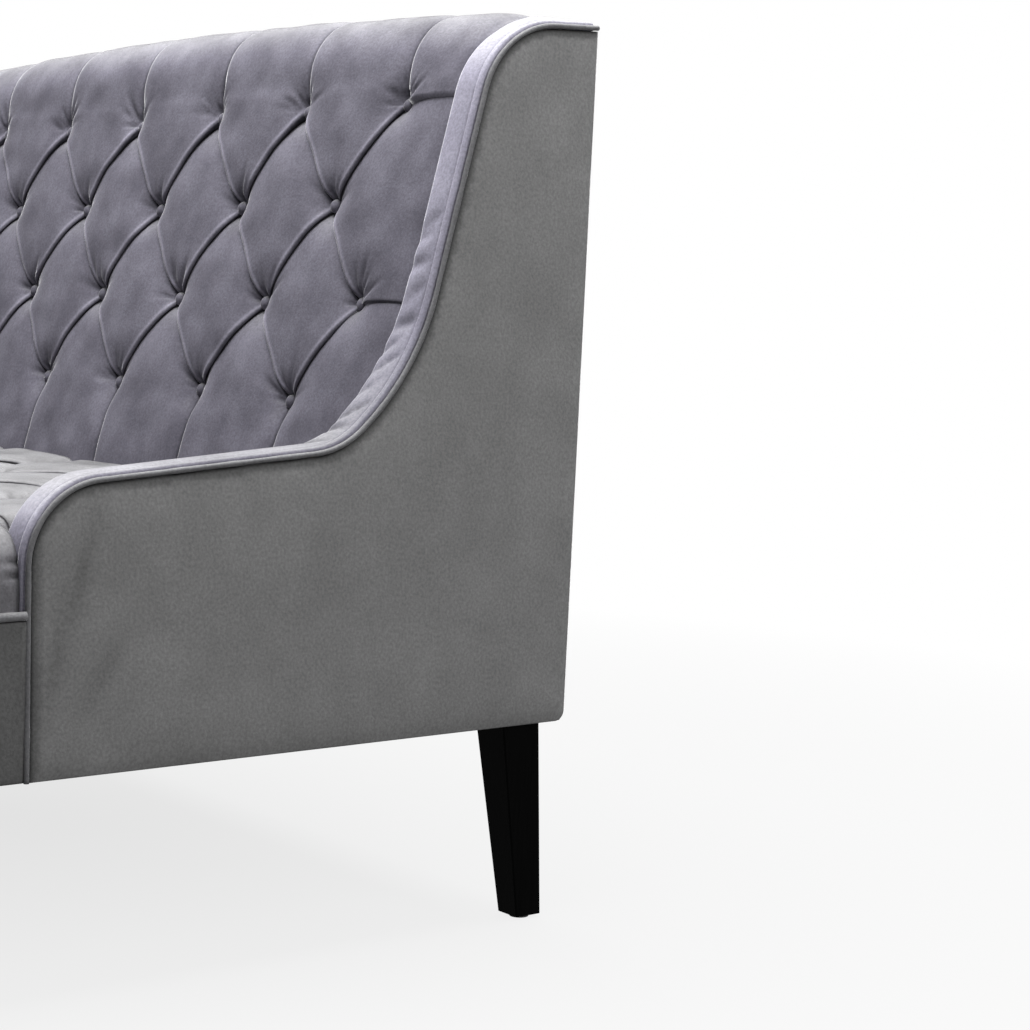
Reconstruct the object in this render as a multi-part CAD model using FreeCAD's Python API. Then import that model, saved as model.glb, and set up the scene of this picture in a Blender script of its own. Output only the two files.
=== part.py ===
import FreeCAD, Part
import math
import os

# Tufted sofa with a tight seat, swept arms and a T-shaped seat front. Millimetres, +Z up, front towards -Y.
# Distances called "back" run from the arms' front edge towards the rear; the origin lies on the floor
# under the middle of the sofa.

# Overall sizes
WIDTH = 1600.0
OVERHANG = 103.0
REAR_DEPTH = 690.0
LEG_HEIGHT = 228.0
BORDER_TOP = 388.0
ARM_FRONT_HEIGHT = 514.5
ARM_SLOPE_DEG = 3.66
BACK_TOP = 1003.0
BACK_RAKE_DEG = 14.0
SEAT_DEPTH = 432.0
SEAT_LEVEL = 531.0
REAR_LEAN = 28.0
TOP_RISE = 2.0

# Arm outline
ARM_FRONT_RADIUS = 90.0
SWEEP_RADIUS = 218.0
TOP_RADIUS = 103.0
ARM_THICKNESS = 60.0

# Covers, piping and boards
WELT_RADIUS = 4.5
WELT_PROUD = 3.0
WELT_SIDES = 8
COVER = 5.0
PLY = 18.0
BOARD = 22.0
RAIL_TOP = 345.0
SIDE_RAIL = 25.0
CLEARANCE = 0.3
BORDER_CORNER = 14.0
HEM_RADIUS = 12.0
DUST_COVER = 1.5

# Tufts
TUFT_PITCH = 205.0
TUFT_COLUMNS = 7
PINCH = 14.0
PILLOW_CHORDS = 5
COLUMN_STEPS = 4
VALLEY = 0.7
SIDE_SINK = 0.7
END_SINK = 0.45
ROW_PITCH = 117.5
TOP_ROW_DROP = 73.0
BACK_TUFT_DEPTH = 45.0
BACK_PAD = 85.0
SEAT_ROW_PITCH = 117.0
SEAT_LOW_ROW = 50.0
SEAT_TUFT_DEPTH = 36.0
SEAT_CROWN = 482.0
CREASE_RISE = 12.0
BUTTON_RADIUS = 7.0
BUTTON_HEIGHT = 6.0
BUTTON_LIFT = 1.0
BUTTON_SIDES = 12
ROLL_PROUD = 12.0
ROLL_DIP = 4.0
ROLL_RISE = 16.0
ROLL_TURN = (math.pi / 4, math.pi / 8, 0.0)
ROLL_BACK = -80.0
ROLL_START = 444.0
SEAT_ROLL_DIP = 7.0
NOSE_BACK = 6.0
NOSE_RISE = 36.0
EAR_CROWN = ((0.45, 0.95), (0.8, 0.78), (1.0, 0.4))

# Webbing, felt and foam
SEAT_STRAPS = 8
CROSS_STRAPS = 4
BACK_STRAPS = 5
STRAP_WIDTH = 50.0
STRAP = 2.4
FELT = 3.0
FOAM_TOP = 411.0
POST_WIDTH = 50.0
TOP_RAIL_DEPTH = 80.0

# Legs
LEG_TOP = 52.0
LEG_FOOT = 35.0
LEG_OUTER_TAPER = 3.0
LEG_SIDE_INSET = 12.0
FRONT_LEG_INSET = 24.0
REAR_LEG_BACK = 640.0
REAR_LEG_RAKE = 16.0
LEG_EDGE = 1.5
GLIDE = 4.0
GLIDE_RADIUS = 11.0
GLIDE_SIDES = 24
BLOCK_HEIGHT = 45.0
BLOCK_WIDTH = 98.0
BOLT_RADIUS = 4.0
BOLT_IN_LEG = 55.0
BOLT_SIDES = 12
NUT_RADIUS = 7.0
NUT_LENGTH = 16.0
NUT_SIDES = 6
TENON = 8.0
TENON_SINK = 20.0
STRETCHER_TOP = 300.0

# Places that follow from the sizes above
RAKE = math.radians(BACK_RAKE_DEG)
ARM_Y = OVERHANG - (OVERHANG + REAR_DEPTH) / 2
SIDE = WIDTH / 2 - WELT_PROUD
PLY_OUT = SIDE - COVER
PLY_IN = PLY_OUT - PLY
INNER = WIDTH / 2 - ARM_THICKNESS
BAND = 2 * WELT_RADIUS
BAND_OUT = WIDTH / 2 - BAND
FRAME_BOTTOM = LEG_HEIGHT + DUST_COVER + CLEARANCE
BORDER_FRONT = -OVERHANG + WELT_PROUD
RAIL_FRONT = BORDER_FRONT + COVER
RAIL_BACK = RAIL_FRONT + BOARD
REAR_BOTTOM = REAR_DEPTH - REAR_LEAN
REAR_RAIL_BACK = REAR_BOTTOM - COVER - CLEARANCE
REAR_RAIL_FRONT = REAR_RAIL_BACK - BOARD
RAIL_IN = PLY_IN - SIDE_RAIL
POST_DEPTH = BACK_PAD + STRAP + CLEARANCE
PAD_LOW = FOAM_TOP + CLEARANCE
WELT_LEVEL = BORDER_TOP + WELT_PROUD
TOP_RAIL_LOW = BACK_TOP - ROLL_PROUD - 2 * BOARD
BLOCK_TOP = FRAME_BOTTOM + BLOCK_HEIGHT
REAR_TOP = BACK_TOP + TOP_RISE
PARTS = "parts"

os.makedirs(PARTS, exist_ok=True)


def at(x, back, z):
    return FreeCAD.Vector(x, ARM_Y + back, z)


def save(name, *solids):
    shape = solids[0] if len(solids) == 1 else Part.makeCompound(list(solids))
    shape.exportStep(os.path.join(PARTS, name + ".step"))


def mirrored(shape):
    return shape.mirror(FreeCAD.Vector(0, 0, 0), FreeCAD.Vector(1, 0, 0))


def save_pair(name, right):
    save("right_" + name, right)
    save("left_" + name, mirrored(right))


def box(x0, x1, back0, back1, z0, z1):
    return Part.makeBox(x1 - x0, back1 - back0, z1 - z0, at(x0, back0, z0))


def post(x, back, z, radius, height, sides):
    return many_sided(at(x, back, z), FreeCAD.Vector(0, 0, 1), sides, radius, height)


def crossing(p, u, q, v):
    """Where the line through p along u meets the line through q along v."""
    cross = u[0] * v[1] - u[1] * v[0]
    t = ((q[0] - p[0]) * v[1] - (q[1] - p[1]) * v[0]) / cross
    return (p[0] + u[0] * t, p[1] + u[1] * t)


def unit(p, q):
    length = math.hypot(q[0] - p[0], q[1] - p[1])
    return ((q[0] - p[0]) / length, (q[1] - p[1]) / length)


def inset(corners, steps):
    """The outline of (back, z, radius) corners with each edge moved inwards by its own step."""
    count = len(corners)
    lines = []
    for i in range(count):
        p = corners[i]
        u = unit(p, corners[(i + 1) % count])
        lines.append(((p[0] + u[1] * steps[i], p[1] - u[0] * steps[i]), u))
    moved = []
    for i in range(count):
        before, after = lines[i - 1], lines[i]
        place = crossing(before[0], before[1], after[0], after[1])
        turn = before[1][0] * after[1][1] - before[1][1] * after[1][0]
        grow = steps[i] if turn > 0 else -steps[i]
        radius = corners[i][2]
        moved.append((place[0], place[1], radius + grow if radius else 0.0))
    return moved


def rounded_edges(corners, x, closed=True):
    """Lines and tangent arcs through (back, z, radius) corners, in the plane at x."""
    count = len(corners)
    stops = []
    for i in range(count):
        p = corners[i]
        ends = not closed and i in (0, count - 1)
        if p[2] == 0 or ends:
            stops.append((p, None, p))
            continue
        before = unit(p, corners[i - 1])
        after = unit(p, corners[(i + 1) % count])
        half = math.acos(before[0] * after[0] + before[1] * after[1]) / 2
        reach = p[2] / math.tan(half)
        middle = unit((0, 0), (before[0] + after[0], before[1] + after[1]))
        sag = p[2] / math.sin(half) - p[2]
        stops.append((
            (p[0] + before[0] * reach, p[1] + before[1] * reach),
            (p[0] + middle[0] * sag, p[1] + middle[1] * sag),
            (p[0] + after[0] * reach, p[1] + after[1] * reach),
        ))
    edges = []
    for i in range(count):
        start, middle, end = stops[i]
        if middle:
            edges.append(Part.Arc(at(x, *start[:2]), at(x, *middle), at(x, *end[:2])).toShape())
        if i + 1 < count or closed:
            follow = stops[(i + 1) % count][0]
            edges.append(Part.LineSegment(at(x, *end[:2]), at(x, *follow[:2])).toShape())
    return edges


def prism(corners, x0, x1):
    face = Part.Face(Part.Wire(rounded_edges(corners, x0)))
    return face.extrude(FreeCAD.Vector(x1 - x0, 0, 0))


def ring(centre, axis, sides, radius):
    """A closed polygon of equal sides around an axis."""
    across = FreeCAD.Rotation(FreeCAD.Vector(0, 0, 1), axis)
    corners = []
    for i in range(sides + 1):
        turn = 2 * math.pi * (i + 0.5) / sides
        corners.append(centre + across.multVec(FreeCAD.Vector(math.cos(turn), math.sin(turn), 0) * radius))
    return Part.makePolygon(corners)


def faceted_loft(sections):
    """A solid through sections of as many corners each, with flat faces between neighbouring sections."""
    rings = [sections[0], sections[-1]]
    for near, far in zip(sections, sections[1:]):
        for i in range(len(near)):
            j = (i + 1) % len(near)
            rings.append([near[i], near[j], far[j]])
            rings.append([near[i], far[j], far[i]])
    faces = [Part.Face(Part.makePolygon(corners + corners[:1])) for corners in rings]
    solid = Part.makeSolid(Part.makeShell(faces))
    if solid.Volume < 0:
        solid.reverse()
    return solid.removeSplitter()


def many_sided(foot, axis, sides, radius, height):
    return Part.Face(ring(foot, axis, sides, radius)).extrude(axis * height)


def piping(edges, radius):
    """A piping along lines and arcs."""
    start = edges[0].valueAt(edges[0].FirstParameter)
    along = edges[0].tangentAt(edges[0].FirstParameter)
    return Part.Wire(edges).makePipeShell([ring(start, along, WELT_SIDES, radius)], True, False)


def face_line(z, depth=0.0):
    """Distance back of the raked back face at height z, or of a plane that lies deeper in the back."""
    return SEAT_DEPTH + (z - SEAT_LEVEL) * math.tan(RAKE) + depth / math.cos(RAKE)


def rear_line(z):
    return REAR_BOTTOM + REAR_LEAN * (z - LEG_HEIGHT) / (REAR_TOP - LEG_HEIGHT)


def arm_outline():
    """Side view of an arm: front edge, arm top, sweep, wing and rear edge."""
    slope = math.radians(ARM_SLOPE_DEG)
    foot = (0.0, LEG_HEIGHT)
    front = (0.0, ARM_FRONT_HEIGHT)
    along = (math.cos(slope), math.sin(slope))
    up = (math.sin(RAKE), math.cos(RAKE))
    sweep = crossing(front, along, (SEAT_DEPTH, SEAT_LEVEL), up)
    top = (face_line(BACK_TOP), BACK_TOP)
    return [
        foot + (0.0,),
        front + (ARM_FRONT_RADIUS,),
        sweep + (SWEEP_RADIUS,),
        top + (TOP_RADIUS,),
        (REAR_DEPTH, REAR_TOP, 0.0),
        (REAR_BOTTOM, LEG_HEIGHT, HEM_RADIUS),
    ]


ARM = arm_outline()


def arm_inset(step, rear=0.0, bottom=0.0):
    """The arm outline drawn in from front to top by one step, and by other steps at rear and bottom."""
    return inset(ARM, [step] * 4 + [rear, bottom])


UNDER_BAND = arm_inset(BAND)


TOP_RAIL_REAR = rear_line(TOP_RAIL_LOW) - COVER - CLEARANCE
TOP_RAIL_FRONT = TOP_RAIL_REAR - TOP_RAIL_DEPTH
ROOM_FRONT = TOP_RAIL_FRONT - CLEARANCE
ROOM_LOW = TOP_RAIL_LOW - CLEARANCE
ROOM_TOP = TOP_RAIL_LOW + BOARD + CLEARANCE


def top_rail_room():
    """The top rail with the clearance that soft pieces keep from it."""
    return box(-PLY_IN, PLY_IN, ROOM_FRONT, TOP_RAIL_REAR + CLEARANCE, ROOM_LOW, ROOM_TOP)


def make_arms():
    band = prism(ARM, INNER, BAND_OUT).cut(prism(UNDER_BAND, INNER, BAND_OUT))
    behind_ear = box(INNER, BAND_OUT, -BAND, 2 * BAND, 0.0, BORDER_TOP)
    save_pair("arm_band", band.cut(behind_ear))
    welt_path = rounded_edges(arm_inset(WELT_RADIUS)[:5], WIDTH / 2 - WELT_RADIUS, False)
    save_pair("arm_welt", piping(welt_path, WELT_RADIUS))
    save_pair("side_cover", prism(arm_inset(BAND + CLEARANCE), PLY_OUT, SIDE))
    board = arm_inset(BAND, COVER + CLEARANCE, FRAME_BOTTOM - LEG_HEIGHT)
    save_pair("arm_panel", prism(board, PLY_IN, PLY_OUT))
    low, high = BORDER_TOP + CLEARANCE, UNDER_BAND[3][1]
    pad = [
        (BAND, low, 0.0),
        UNDER_BAND[1],
        UNDER_BAND[2],
        UNDER_BAND[3],
        (face_line(high, POST_DEPTH), high, 0.0),
        (face_line(low, POST_DEPTH), low, 0.0),
    ]
    save_pair("arm_pad", prism(pad, INNER, PLY_IN).cut(top_rail_room()))


def make_seat_frame():
    rail = box(-PLY_OUT, PLY_OUT, RAIL_FRONT, RAIL_BACK, FRAME_BOTTOM, BORDER_TOP)
    upright = [e for e in rail.Edges if e.BoundBox.ZLength > BOARD]
    corners = [e for e in upright if e.BoundBox.YMax < ARM_Y + RAIL_BACK - COVER]
    save("front_rail", rail.makeFillet(BORDER_CORNER - COVER, corners))
    save("rear_rail", box(-PLY_IN, PLY_IN, REAR_RAIL_FRONT, REAR_RAIL_BACK, FRAME_BOTTOM, RAIL_TOP))
    side_rail = box(RAIL_IN, PLY_IN, RAIL_BACK, REAR_RAIL_FRONT, FRAME_BOTTOM, RAIL_TOP)
    save_pair("side_rail", side_rail.cut([leg_block("front"), leg_block("rear")]))
    half = SIDE_RAIL / 2
    save("centre_stretcher", box(-half, half, RAIL_BACK, REAR_RAIL_FRONT, FRAME_BOTTOM, STRETCHER_TOP))
    save("webbing_cleat", box(-RAIL_IN, RAIL_IN, RAIL_BACK, RAIL_BACK + BOARD, RAIL_TOP - BOARD, RAIL_TOP))
    save_pair("ear_board", box(PLY_IN, PLY_OUT, RAIL_BACK, -CLEARANCE, BLOCK_TOP, BORDER_TOP))


def leg_places():
    """Each right-hand leg: distance back of its outer face, way to its inner face, rake of its foot."""
    return {"front": (BORDER_FRONT + FRONT_LEG_INSET, 1, 0.0), "rear": (REAR_LEG_BACK, -1, REAR_LEG_RAKE)}


LEG_X = WIDTH / 2 - LEG_SIDE_INSET
LEG_CENTRES = {k: (LEG_X - LEG_TOP / 2, b + way * LEG_TOP / 2) for k, (b, way, rake) in leg_places().items()}


def leg_section(outer_back, way, taper, size, z):
    """Corners of a square with its arrises taken off, measured in from the leg's outer corner."""
    places = []
    for i, j in ((0, 0), (1, 0), (1, 1), (0, 1)):
        for turn in ((0, 1), (1, 0)) if (i + j) % 2 == 0 else ((1, 0), (0, 1)):
            across = i * size + LEG_EDGE * turn[0] * (1 - 2 * i)
            deep = j * size + LEG_EDGE * turn[1] * (1 - 2 * j)
            places.append(at(LEG_X - taper - across, outer_back + way * (taper + deep), z))
    return places


def make_legs():
    bolts, nuts, glides = [], [], []
    for place, (outer, way, rake) in leg_places().items():
        top = leg_section(outer, way, 0.0, LEG_TOP, FRAME_BOTTOM)
        foot = leg_section(outer + rake, way, LEG_OUTER_TAPER, LEG_FOOT, GLIDE)
        leg = faceted_loft([foot, top])
        x, back = LEG_CENTRES[place]
        foot_x = LEG_X - LEG_OUTER_TAPER - LEG_FOOT / 2
        foot_back = outer + rake + way * (LEG_OUTER_TAPER + LEG_FOOT / 2)
        bolt = post(x, back, FRAME_BOTTOM - BOLT_IN_LEG, BOLT_RADIUS, BOLT_IN_LEG + BLOCK_HEIGHT, BOLT_SIDES)
        save_pair(place + "_leg", leg.cut(bolt))
        bolts.append(bolt)
        glides.append(post(foot_x, foot_back, 0.0, GLIDE_RADIUS, GLIDE, GLIDE_SIDES))
        nut = post(x, back, BLOCK_TOP - NUT_LENGTH, NUT_RADIUS, NUT_LENGTH, NUT_SIDES)
        save_pair(place + "_leg_block", leg_block(place).cut(bolt).cut(nut))
        nuts.append(nut.cut(bolt))
    save("leg_bolts", *(bolts + [mirrored(b) for b in bolts]))
    save("leg_nuts", *(nuts + [mirrored(n) for n in nuts]))
    save("leg_glides", *(glides + [mirrored(g) for g in glides]))


def leg_block(place):
    if place == "front":
        return box(PLY_OUT - BLOCK_WIDTH, PLY_OUT, RAIL_BACK, -CLEARANCE, FRAME_BOTTOM, BLOCK_TOP)
    front = REAR_RAIL_FRONT - BLOCK_WIDTH
    return box(PLY_IN - BLOCK_WIDTH, PLY_IN, front, REAR_RAIL_FRONT, FRAME_BOTTOM, BLOCK_TOP)


def make_back_frame():
    centres = {"left": -PLY_IN + POST_WIDTH / 2, "centre": 0.0, "right": PLY_IN - POST_WIDTH / 2}
    half = POST_WIDTH / 2
    low, high = RAIL_TOP, TOP_RAIL_LOW
    back_depth = POST_DEPTH + BOARD
    leaning = [
        (face_line(low, POST_DEPTH), low, 0.0),
        (face_line(high, POST_DEPTH), high, 0.0),
        (face_line(high, back_depth), high, 0.0),
        (face_line(low, back_depth), low, 0.0),
    ]
    rail = box(-PLY_IN, PLY_IN, TOP_RAIL_FRONT, TOP_RAIL_REAR, high, high + BOARD)
    middle = face_line(high, POST_DEPTH + BOARD / 2) - TENON_SINK * math.tan(RAKE) / 2
    tenons = []
    for name, x in centres.items():
        upright = prism(leaning, x - half, x + half)
        for side in (-1, 1):
            place = x + side * half / 2
            sides = (place - TENON, place + TENON, middle - TENON / 2, middle + TENON / 2)
            tenon = box(*sides, high - TENON_SINK, high + BOARD)
            upright = upright.cut(tenon)
            rail = rail.cut(tenon)
            tenons.append(tenon)
        save(name + "_back_post", upright)
    save("back_top_rail", rail)
    save("loose_tenons", *tenons)
    foot_front = face_line(low, POST_DEPTH) - CLEARANCE
    foot_back = face_line(low, back_depth)
    save("tuck_rail", box(-RAIL_IN, RAIL_IN, foot_front, foot_back, RAIL_TOP - 2 * BOARD, RAIL_TOP))


def spread(count, reach):
    """Even places across twice the reach, half a step in from each end."""
    step = 2 * reach / count
    return [-reach + step * (i + 0.5) for i in range(count)]


def make_suspension():
    half = STRAP_WIDTH / 2
    low = RAIL_TOP
    rows = spread(SEAT_STRAPS, PLY_IN - POST_WIDTH)
    front, rear = RAIL_BACK, REAR_RAIL_BACK
    save("seat_webbing", *[box(x - half, x + half, front, rear, low, low + STRAP) for x in rows])
    foam_back = face_line(RAIL_TOP, POST_DEPTH) - CLEARANCE
    middle = (BAND + foam_back) / 2
    places = [middle + step for step in spread(CROSS_STRAPS, foam_back - middle)]
    low += STRAP
    save("cross_webbing", *[box(-PLY_IN, PLY_IN, b - half, b + half, low, low + STRAP) for b in places])
    reach = INNER - CLEARANCE
    low += STRAP
    save("seat_felt", box(-reach, reach, RAIL_BACK, foam_back, low, low + FELT))
    save("seat_foam", box(-reach, reach, RAIL_BACK, foam_back, low + FELT, FOAM_TOP))
    straps = []
    reach = (ROOM_LOW - PAD_LOW) / 2
    for step in spread(BACK_STRAPS, reach):
        z = PAD_LOW + reach + step
        lift = half * math.cos(RAKE)
        strap = [
            (face_line(z - lift, BACK_PAD), z - lift, 0.0),
            (face_line(z + lift, BACK_PAD), z + lift, 0.0),
            (face_line(z + lift, BACK_PAD + STRAP), z + lift, 0.0),
            (face_line(z - lift, BACK_PAD + STRAP), z - lift, 0.0),
        ]
        straps.append(prism(strap, -INNER, INNER))
    save("back_webbing", *straps)


def make_covers():
    low = LEG_HEIGHT
    high = WELT_LEVEL - WELT_RADIUS
    outer = wrapped_front(SIDE, BORDER_FRONT, BORDER_CORNER, low)
    inner = wrapped_front(PLY_OUT, RAIL_FRONT, BORDER_CORNER - COVER, low)
    rise = FreeCAD.Vector(0, 0, high - low)
    save("front_border", closed_plan(outer).extrude(rise).cut(closed_plan(inner).extrude(rise)))
    welt = wrapped_front(WIDTH / 2 - WELT_RADIUS, -OVERHANG + WELT_RADIUS, BORDER_CORNER, WELT_LEVEL)
    save("seat_welt", piping(welt, WELT_RADIUS))
    top = REAR_TOP - BAND - CLEARANCE
    rear = [
        (rear_line(low), low, 0.0),
        (rear_line(low) - COVER, low, 0.0),
        (rear_line(top) - COVER, top, 0.0),
        (rear_line(top), top, 0.0),
    ]
    save("outer_back", prism(rear, -PLY_OUT, PLY_OUT))
    sheet_front = BORDER_FRONT + BORDER_CORNER
    sheet = box(-BAND_OUT, BAND_OUT, sheet_front, rear_line(low) - COVER, low, low + DUST_COVER)
    for x, back in LEG_CENTRES.values():
        reach = LEG_TOP / 2 + CLEARANCE
        for side in (-1, 1):
            gap = box(side * x - reach, side * x + reach, back - reach, back + reach, low, FRAME_BOTTOM)
            sheet = sheet.cut(gap)
    save("dust_cover", sheet)


def wrapped_front(reach, front, radius, z):
    """Plan line of the T-shaped front: from the right arm round both front corners to the left arm."""
    end = -CLEARANCE
    low = front + radius
    side = reach - radius
    bend = radius * (1 - math.sqrt(0.5))
    return [
        Part.LineSegment(at(reach, end, z), at(reach, low, z)).toShape(),
        Part.Arc(at(reach, low, z), at(reach - bend, front + bend, z), at(side, front, z)).toShape(),
        Part.LineSegment(at(side, front, z), at(-side, front, z)).toShape(),
        Part.Arc(at(-side, front, z), at(bend - reach, front + bend, z), at(-reach, low, z)).toShape(),
        Part.LineSegment(at(-reach, low, z), at(-reach, end, z)).toShape(),
    ]


def closed_plan(edges):
    first = edges[0].valueAt(edges[0].FirstParameter)
    last = edges[-1].valueAt(edges[-1].LastParameter)
    return Part.Face(Part.Wire(edges + [Part.LineSegment(last, first).toShape()]))


def back_point(along, out):
    """A point of the raked back: distance up the face, and out of it towards the sitter."""
    start = face_line(PAD_LOW)
    back = start + along * math.sin(RAKE) - out * math.cos(RAKE)
    return (back, PAD_LOW + along * math.cos(RAKE) + out * math.sin(RAKE))


SEAT_REAR = face_line(SEAT_CROWN - SEAT_TUFT_DEPTH) - CLEARANCE


def seat_point(along, out):
    """A point of the seat: distance forward from the back, and out of the crown."""
    return (SEAT_REAR - along, SEAT_CROWN + out)


def columns(edge):
    """Sections across a tufted pad: place, share of the way from an odd to an even tuft, and sink."""
    step = TUFT_PITCH / 2 / COLUMN_STEPS
    last = TUFT_PITCH * (TUFT_COLUMNS - 1) / 2
    side = (last + edge) / 2
    inner = []
    for i in range(2 * COLUMN_STEPS * (TUFT_COLUMNS - 1) + 1):
        turn = i % (2 * COLUMN_STEPS)
        inner.append((-last + i * step, min(turn, 2 * COLUMN_STEPS - turn) / COLUMN_STEPS, 1.0))
    left = [(-edge, 0.0, END_SINK), (-side, 0.0, SIDE_SINK)]
    right = [(side, 0.0, SIDE_SINK), (edge, 0.0, END_SINK)]
    return left + inner + right


def arc(p, m, q):
    """Corners of short chords along the arc from p through m towards q, without q itself."""
    curve = Part.Arc(*[FreeCAD.Vector(0, *spot) for spot in (p, m, q)])
    first, last = curve.FirstParameter, curve.LastParameter
    spots = [curve.value(first + (last - first) * i / PILLOW_CHORDS) for i in range(PILLOW_CHORDS)]
    return [(spot.y, spot.z) for spot in spots]


def round_off(share):
    """Height of a pillow on the way from its middle to its tip."""
    return math.sqrt(1 - share * share)


def pillows(share, sink, point, rows, depth, roll):
    """Corners of one column of pillows, from the foot of the pad to the start of its roll."""
    low, third, second, first = rows
    half = PINCH / 2
    floor = -depth * sink + CREASE_RISE * math.sin(math.pi * share)
    crown = -depth * (1 - sink) / 3
    odd, even = round_off(share), round_off(1 - share)
    nodes = [
        third - half + (low - third + half) * share,
        third + half + (second - third - PINCH) * share,
        first + (second + half - first) * share,
    ]
    pinched = floor + half / 4
    valley = floor * VALLEY
    tops = [
        valley + (crown - valley) * odd,
        pinched + (crown - pinched) * even,
        pinched + (crown - pinched) * odd,
        (floor + roll[1]) / 2 * (1 - even) + half / 2 + crown * even,
    ]
    foot = valley + (crown - depth / 6 - valley) * odd
    stops = [(0.0, foot)] + [(along, floor) for along in nodes] + [roll]
    corners = []
    for start, top, end in zip(stops, tops, stops[1:]):
        middle = ((start[0] + end[0]) / 2, top)
        corners += arc(point(*start), point(*middle), point(*end))
    return corners


def make_back_pad():
    first = (BACK_TOP - PAD_LOW) / math.cos(RAKE) - TOP_ROW_DROP
    rows = [first - ROW_PITCH * i for i in (3, 2, 1, 0)]
    edge = INNER - CLEARANCE
    hub_z = BACK_TOP + ROLL_RISE - TOP_RADIUS
    hub = (face_line(hub_z, TOP_RADIUS), hub_z)
    rear = TOP_RAIL_REAR - CLEARANCE
    sections = []
    for x, share, sink in columns(edge):
        proud = ROLL_PROUD * (2 * round_off(1 - share) * sink - 1)
        radius = TOP_RADIUS + max(proud, -ROLL_DIP)
        turn = [(hub[0] - radius * math.sin(t), hub[1] + radius * math.cos(t)) for t in ROLL_TURN]
        away = (turn[0][0] - face_line(PAD_LOW), turn[0][1] - PAD_LOW)
        along = away[0] * math.sin(RAKE) + away[1] * math.cos(RAKE)
        out = away[1] * math.sin(RAKE) - away[0] * math.cos(RAKE)
        corners = pillows(share, sink, back_point, rows, BACK_TUFT_DEPTH, (along, out))
        foot = corners[0][1]
        corners += arc(*turn) + [
            turn[2],
            (rear, BACK_TOP - WELT_PROUD),
            (rear, ROOM_TOP),
            (ROOM_FRONT, ROOM_TOP),
            (ROOM_FRONT, ROOM_LOW),
            (face_line(ROOM_LOW, BACK_PAD), ROOM_LOW),
            (face_line(foot, BACK_PAD), foot),
        ]
        sections.append([at(x, *spot) for spot in corners])
    level = box(-edge, edge, face_line(PAD_LOW) - BACK_PAD, REAR_DEPTH, RAIL_TOP, PAD_LOW)
    sunk = buttons(back_point, rows, BACK_TUFT_DEPTH, -RAKE)
    save("back_pad", faceted_loft(sections).cut([level] + [socket for socket, button in sunk]))
    save("back_buttons", *[button for socket, button in sunk])


def make_seat_pad():
    rows = [SEAT_LOW_ROW + SEAT_ROW_PITCH * i for i in range(4)]
    edge = INNER - CLEARANCE
    ear = SIDE - CLEARANCE - edge
    low = BORDER_TOP + CLEARANCE
    front = BORDER_FRONT - CLEARANCE
    ears = [(edge + ear * share, height) for share, height in EAR_CROWN]
    places = [(x, share, sink, 1.0) for x, share, sink in columns(edge)]
    left_ear = [(-x, 0.0, END_SINK, height) for x, height in reversed(ears)]
    right_ear = [(x, 0.0, END_SINK, height) for x, height in ears]
    places = left_ear + places + right_ear
    sections = []
    for x, share, sink, height in places:
        pull = 1.0 - BORDER_CORNER * (1.0 - height) / OVERHANG
        drop = SEAT_ROLL_DIP * (1 - round_off(1 - share)) * sink
        roll = (SEAT_REAR - ROLL_BACK - drop, ROLL_START - SEAT_CROWN - drop)
        corners = pillows(share, sink, seat_point, rows, SEAT_TUFT_DEPTH, roll)
        corners += arc(seat_point(*roll), (front + NOSE_BACK, low + NOSE_RISE), (front, low + BORDER_CORNER))
        corners += [(front, low + BORDER_CORNER), (front, low), (face_line(low) - CLEARANCE, low)]
        shaped = [(back * pull if back < 0 else back, low + (z - low) * height) for back, z in corners]
        sections.append([at(x, *spot) for spot in shaped])
    foam_back = face_line(RAIL_TOP, POST_DEPTH)
    under = low - BORDER_CORNER
    welt_top = WELT_LEVEL + WELT_RADIUS + CLEARANCE
    welt_in = BAND + CLEARANCE
    cutters = [
        box(-INNER, INNER, RAIL_BACK - CLEARANCE, foam_back, under, PAD_LOW),
        box(-WIDTH, WIDTH, -2 * OVERHANG, -OVERHANG + welt_in, under, welt_top),
    ]
    for side in (-1, 1):
        arm = sorted((side * edge, side * WIDTH))
        trim = sorted((side * (WIDTH / 2 - welt_in), side * WIDTH))
        cutters.append(box(*arm, -CLEARANCE, foam_back, under, BACK_TOP))
        cutters.append(box(*trim, -2 * OVERHANG, foam_back, under, welt_top))
        corner = sorted((side * (SIDE - BORDER_CORNER), side * WIDTH))
        cutters.append(box(*corner, -2 * OVERHANG, BORDER_FRONT + BORDER_CORNER, under, welt_top))
    sunk = buttons(seat_point, rows, SEAT_TUFT_DEPTH, -math.pi / 2)
    save("seat_pad", faceted_loft(sections).cut(cutters + [socket for socket, button in sunk]))
    save("seat_buttons", *[button for socket, button in sunk])


def buttons(point, rows, depth, lean):
    """A covered button sunk in each tuft, with the socket that it leaves in the pad."""
    axis = FreeCAD.Vector(0, -math.cos(lean), -math.sin(lean))
    made = []
    for x, share, sink in columns(INNER):
        tufts = {0.0: rows[1::2], 1.0: rows[0::2]}.get(share, []) if sink == 1.0 else []
        for along in tufts:
            foot = at(x, *point(along, BUTTON_LIFT - depth))
            socket = many_sided(foot, axis, BUTTON_SIDES, BUTTON_RADIUS + CLEARANCE, depth)
            made.append((socket, many_sided(foot, axis, BUTTON_SIDES, BUTTON_RADIUS, BUTTON_HEIGHT)))
    return made


make_arms()
make_seat_frame()
make_back_frame()
make_suspension()
make_covers()
make_back_pad()
make_seat_pad()
make_legs()
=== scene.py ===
import math

import bpy
import numpy as np
from mathutils import Matrix, Quaternion, Vector
from mathutils.geometry import delaunay_2d_cdt


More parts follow.
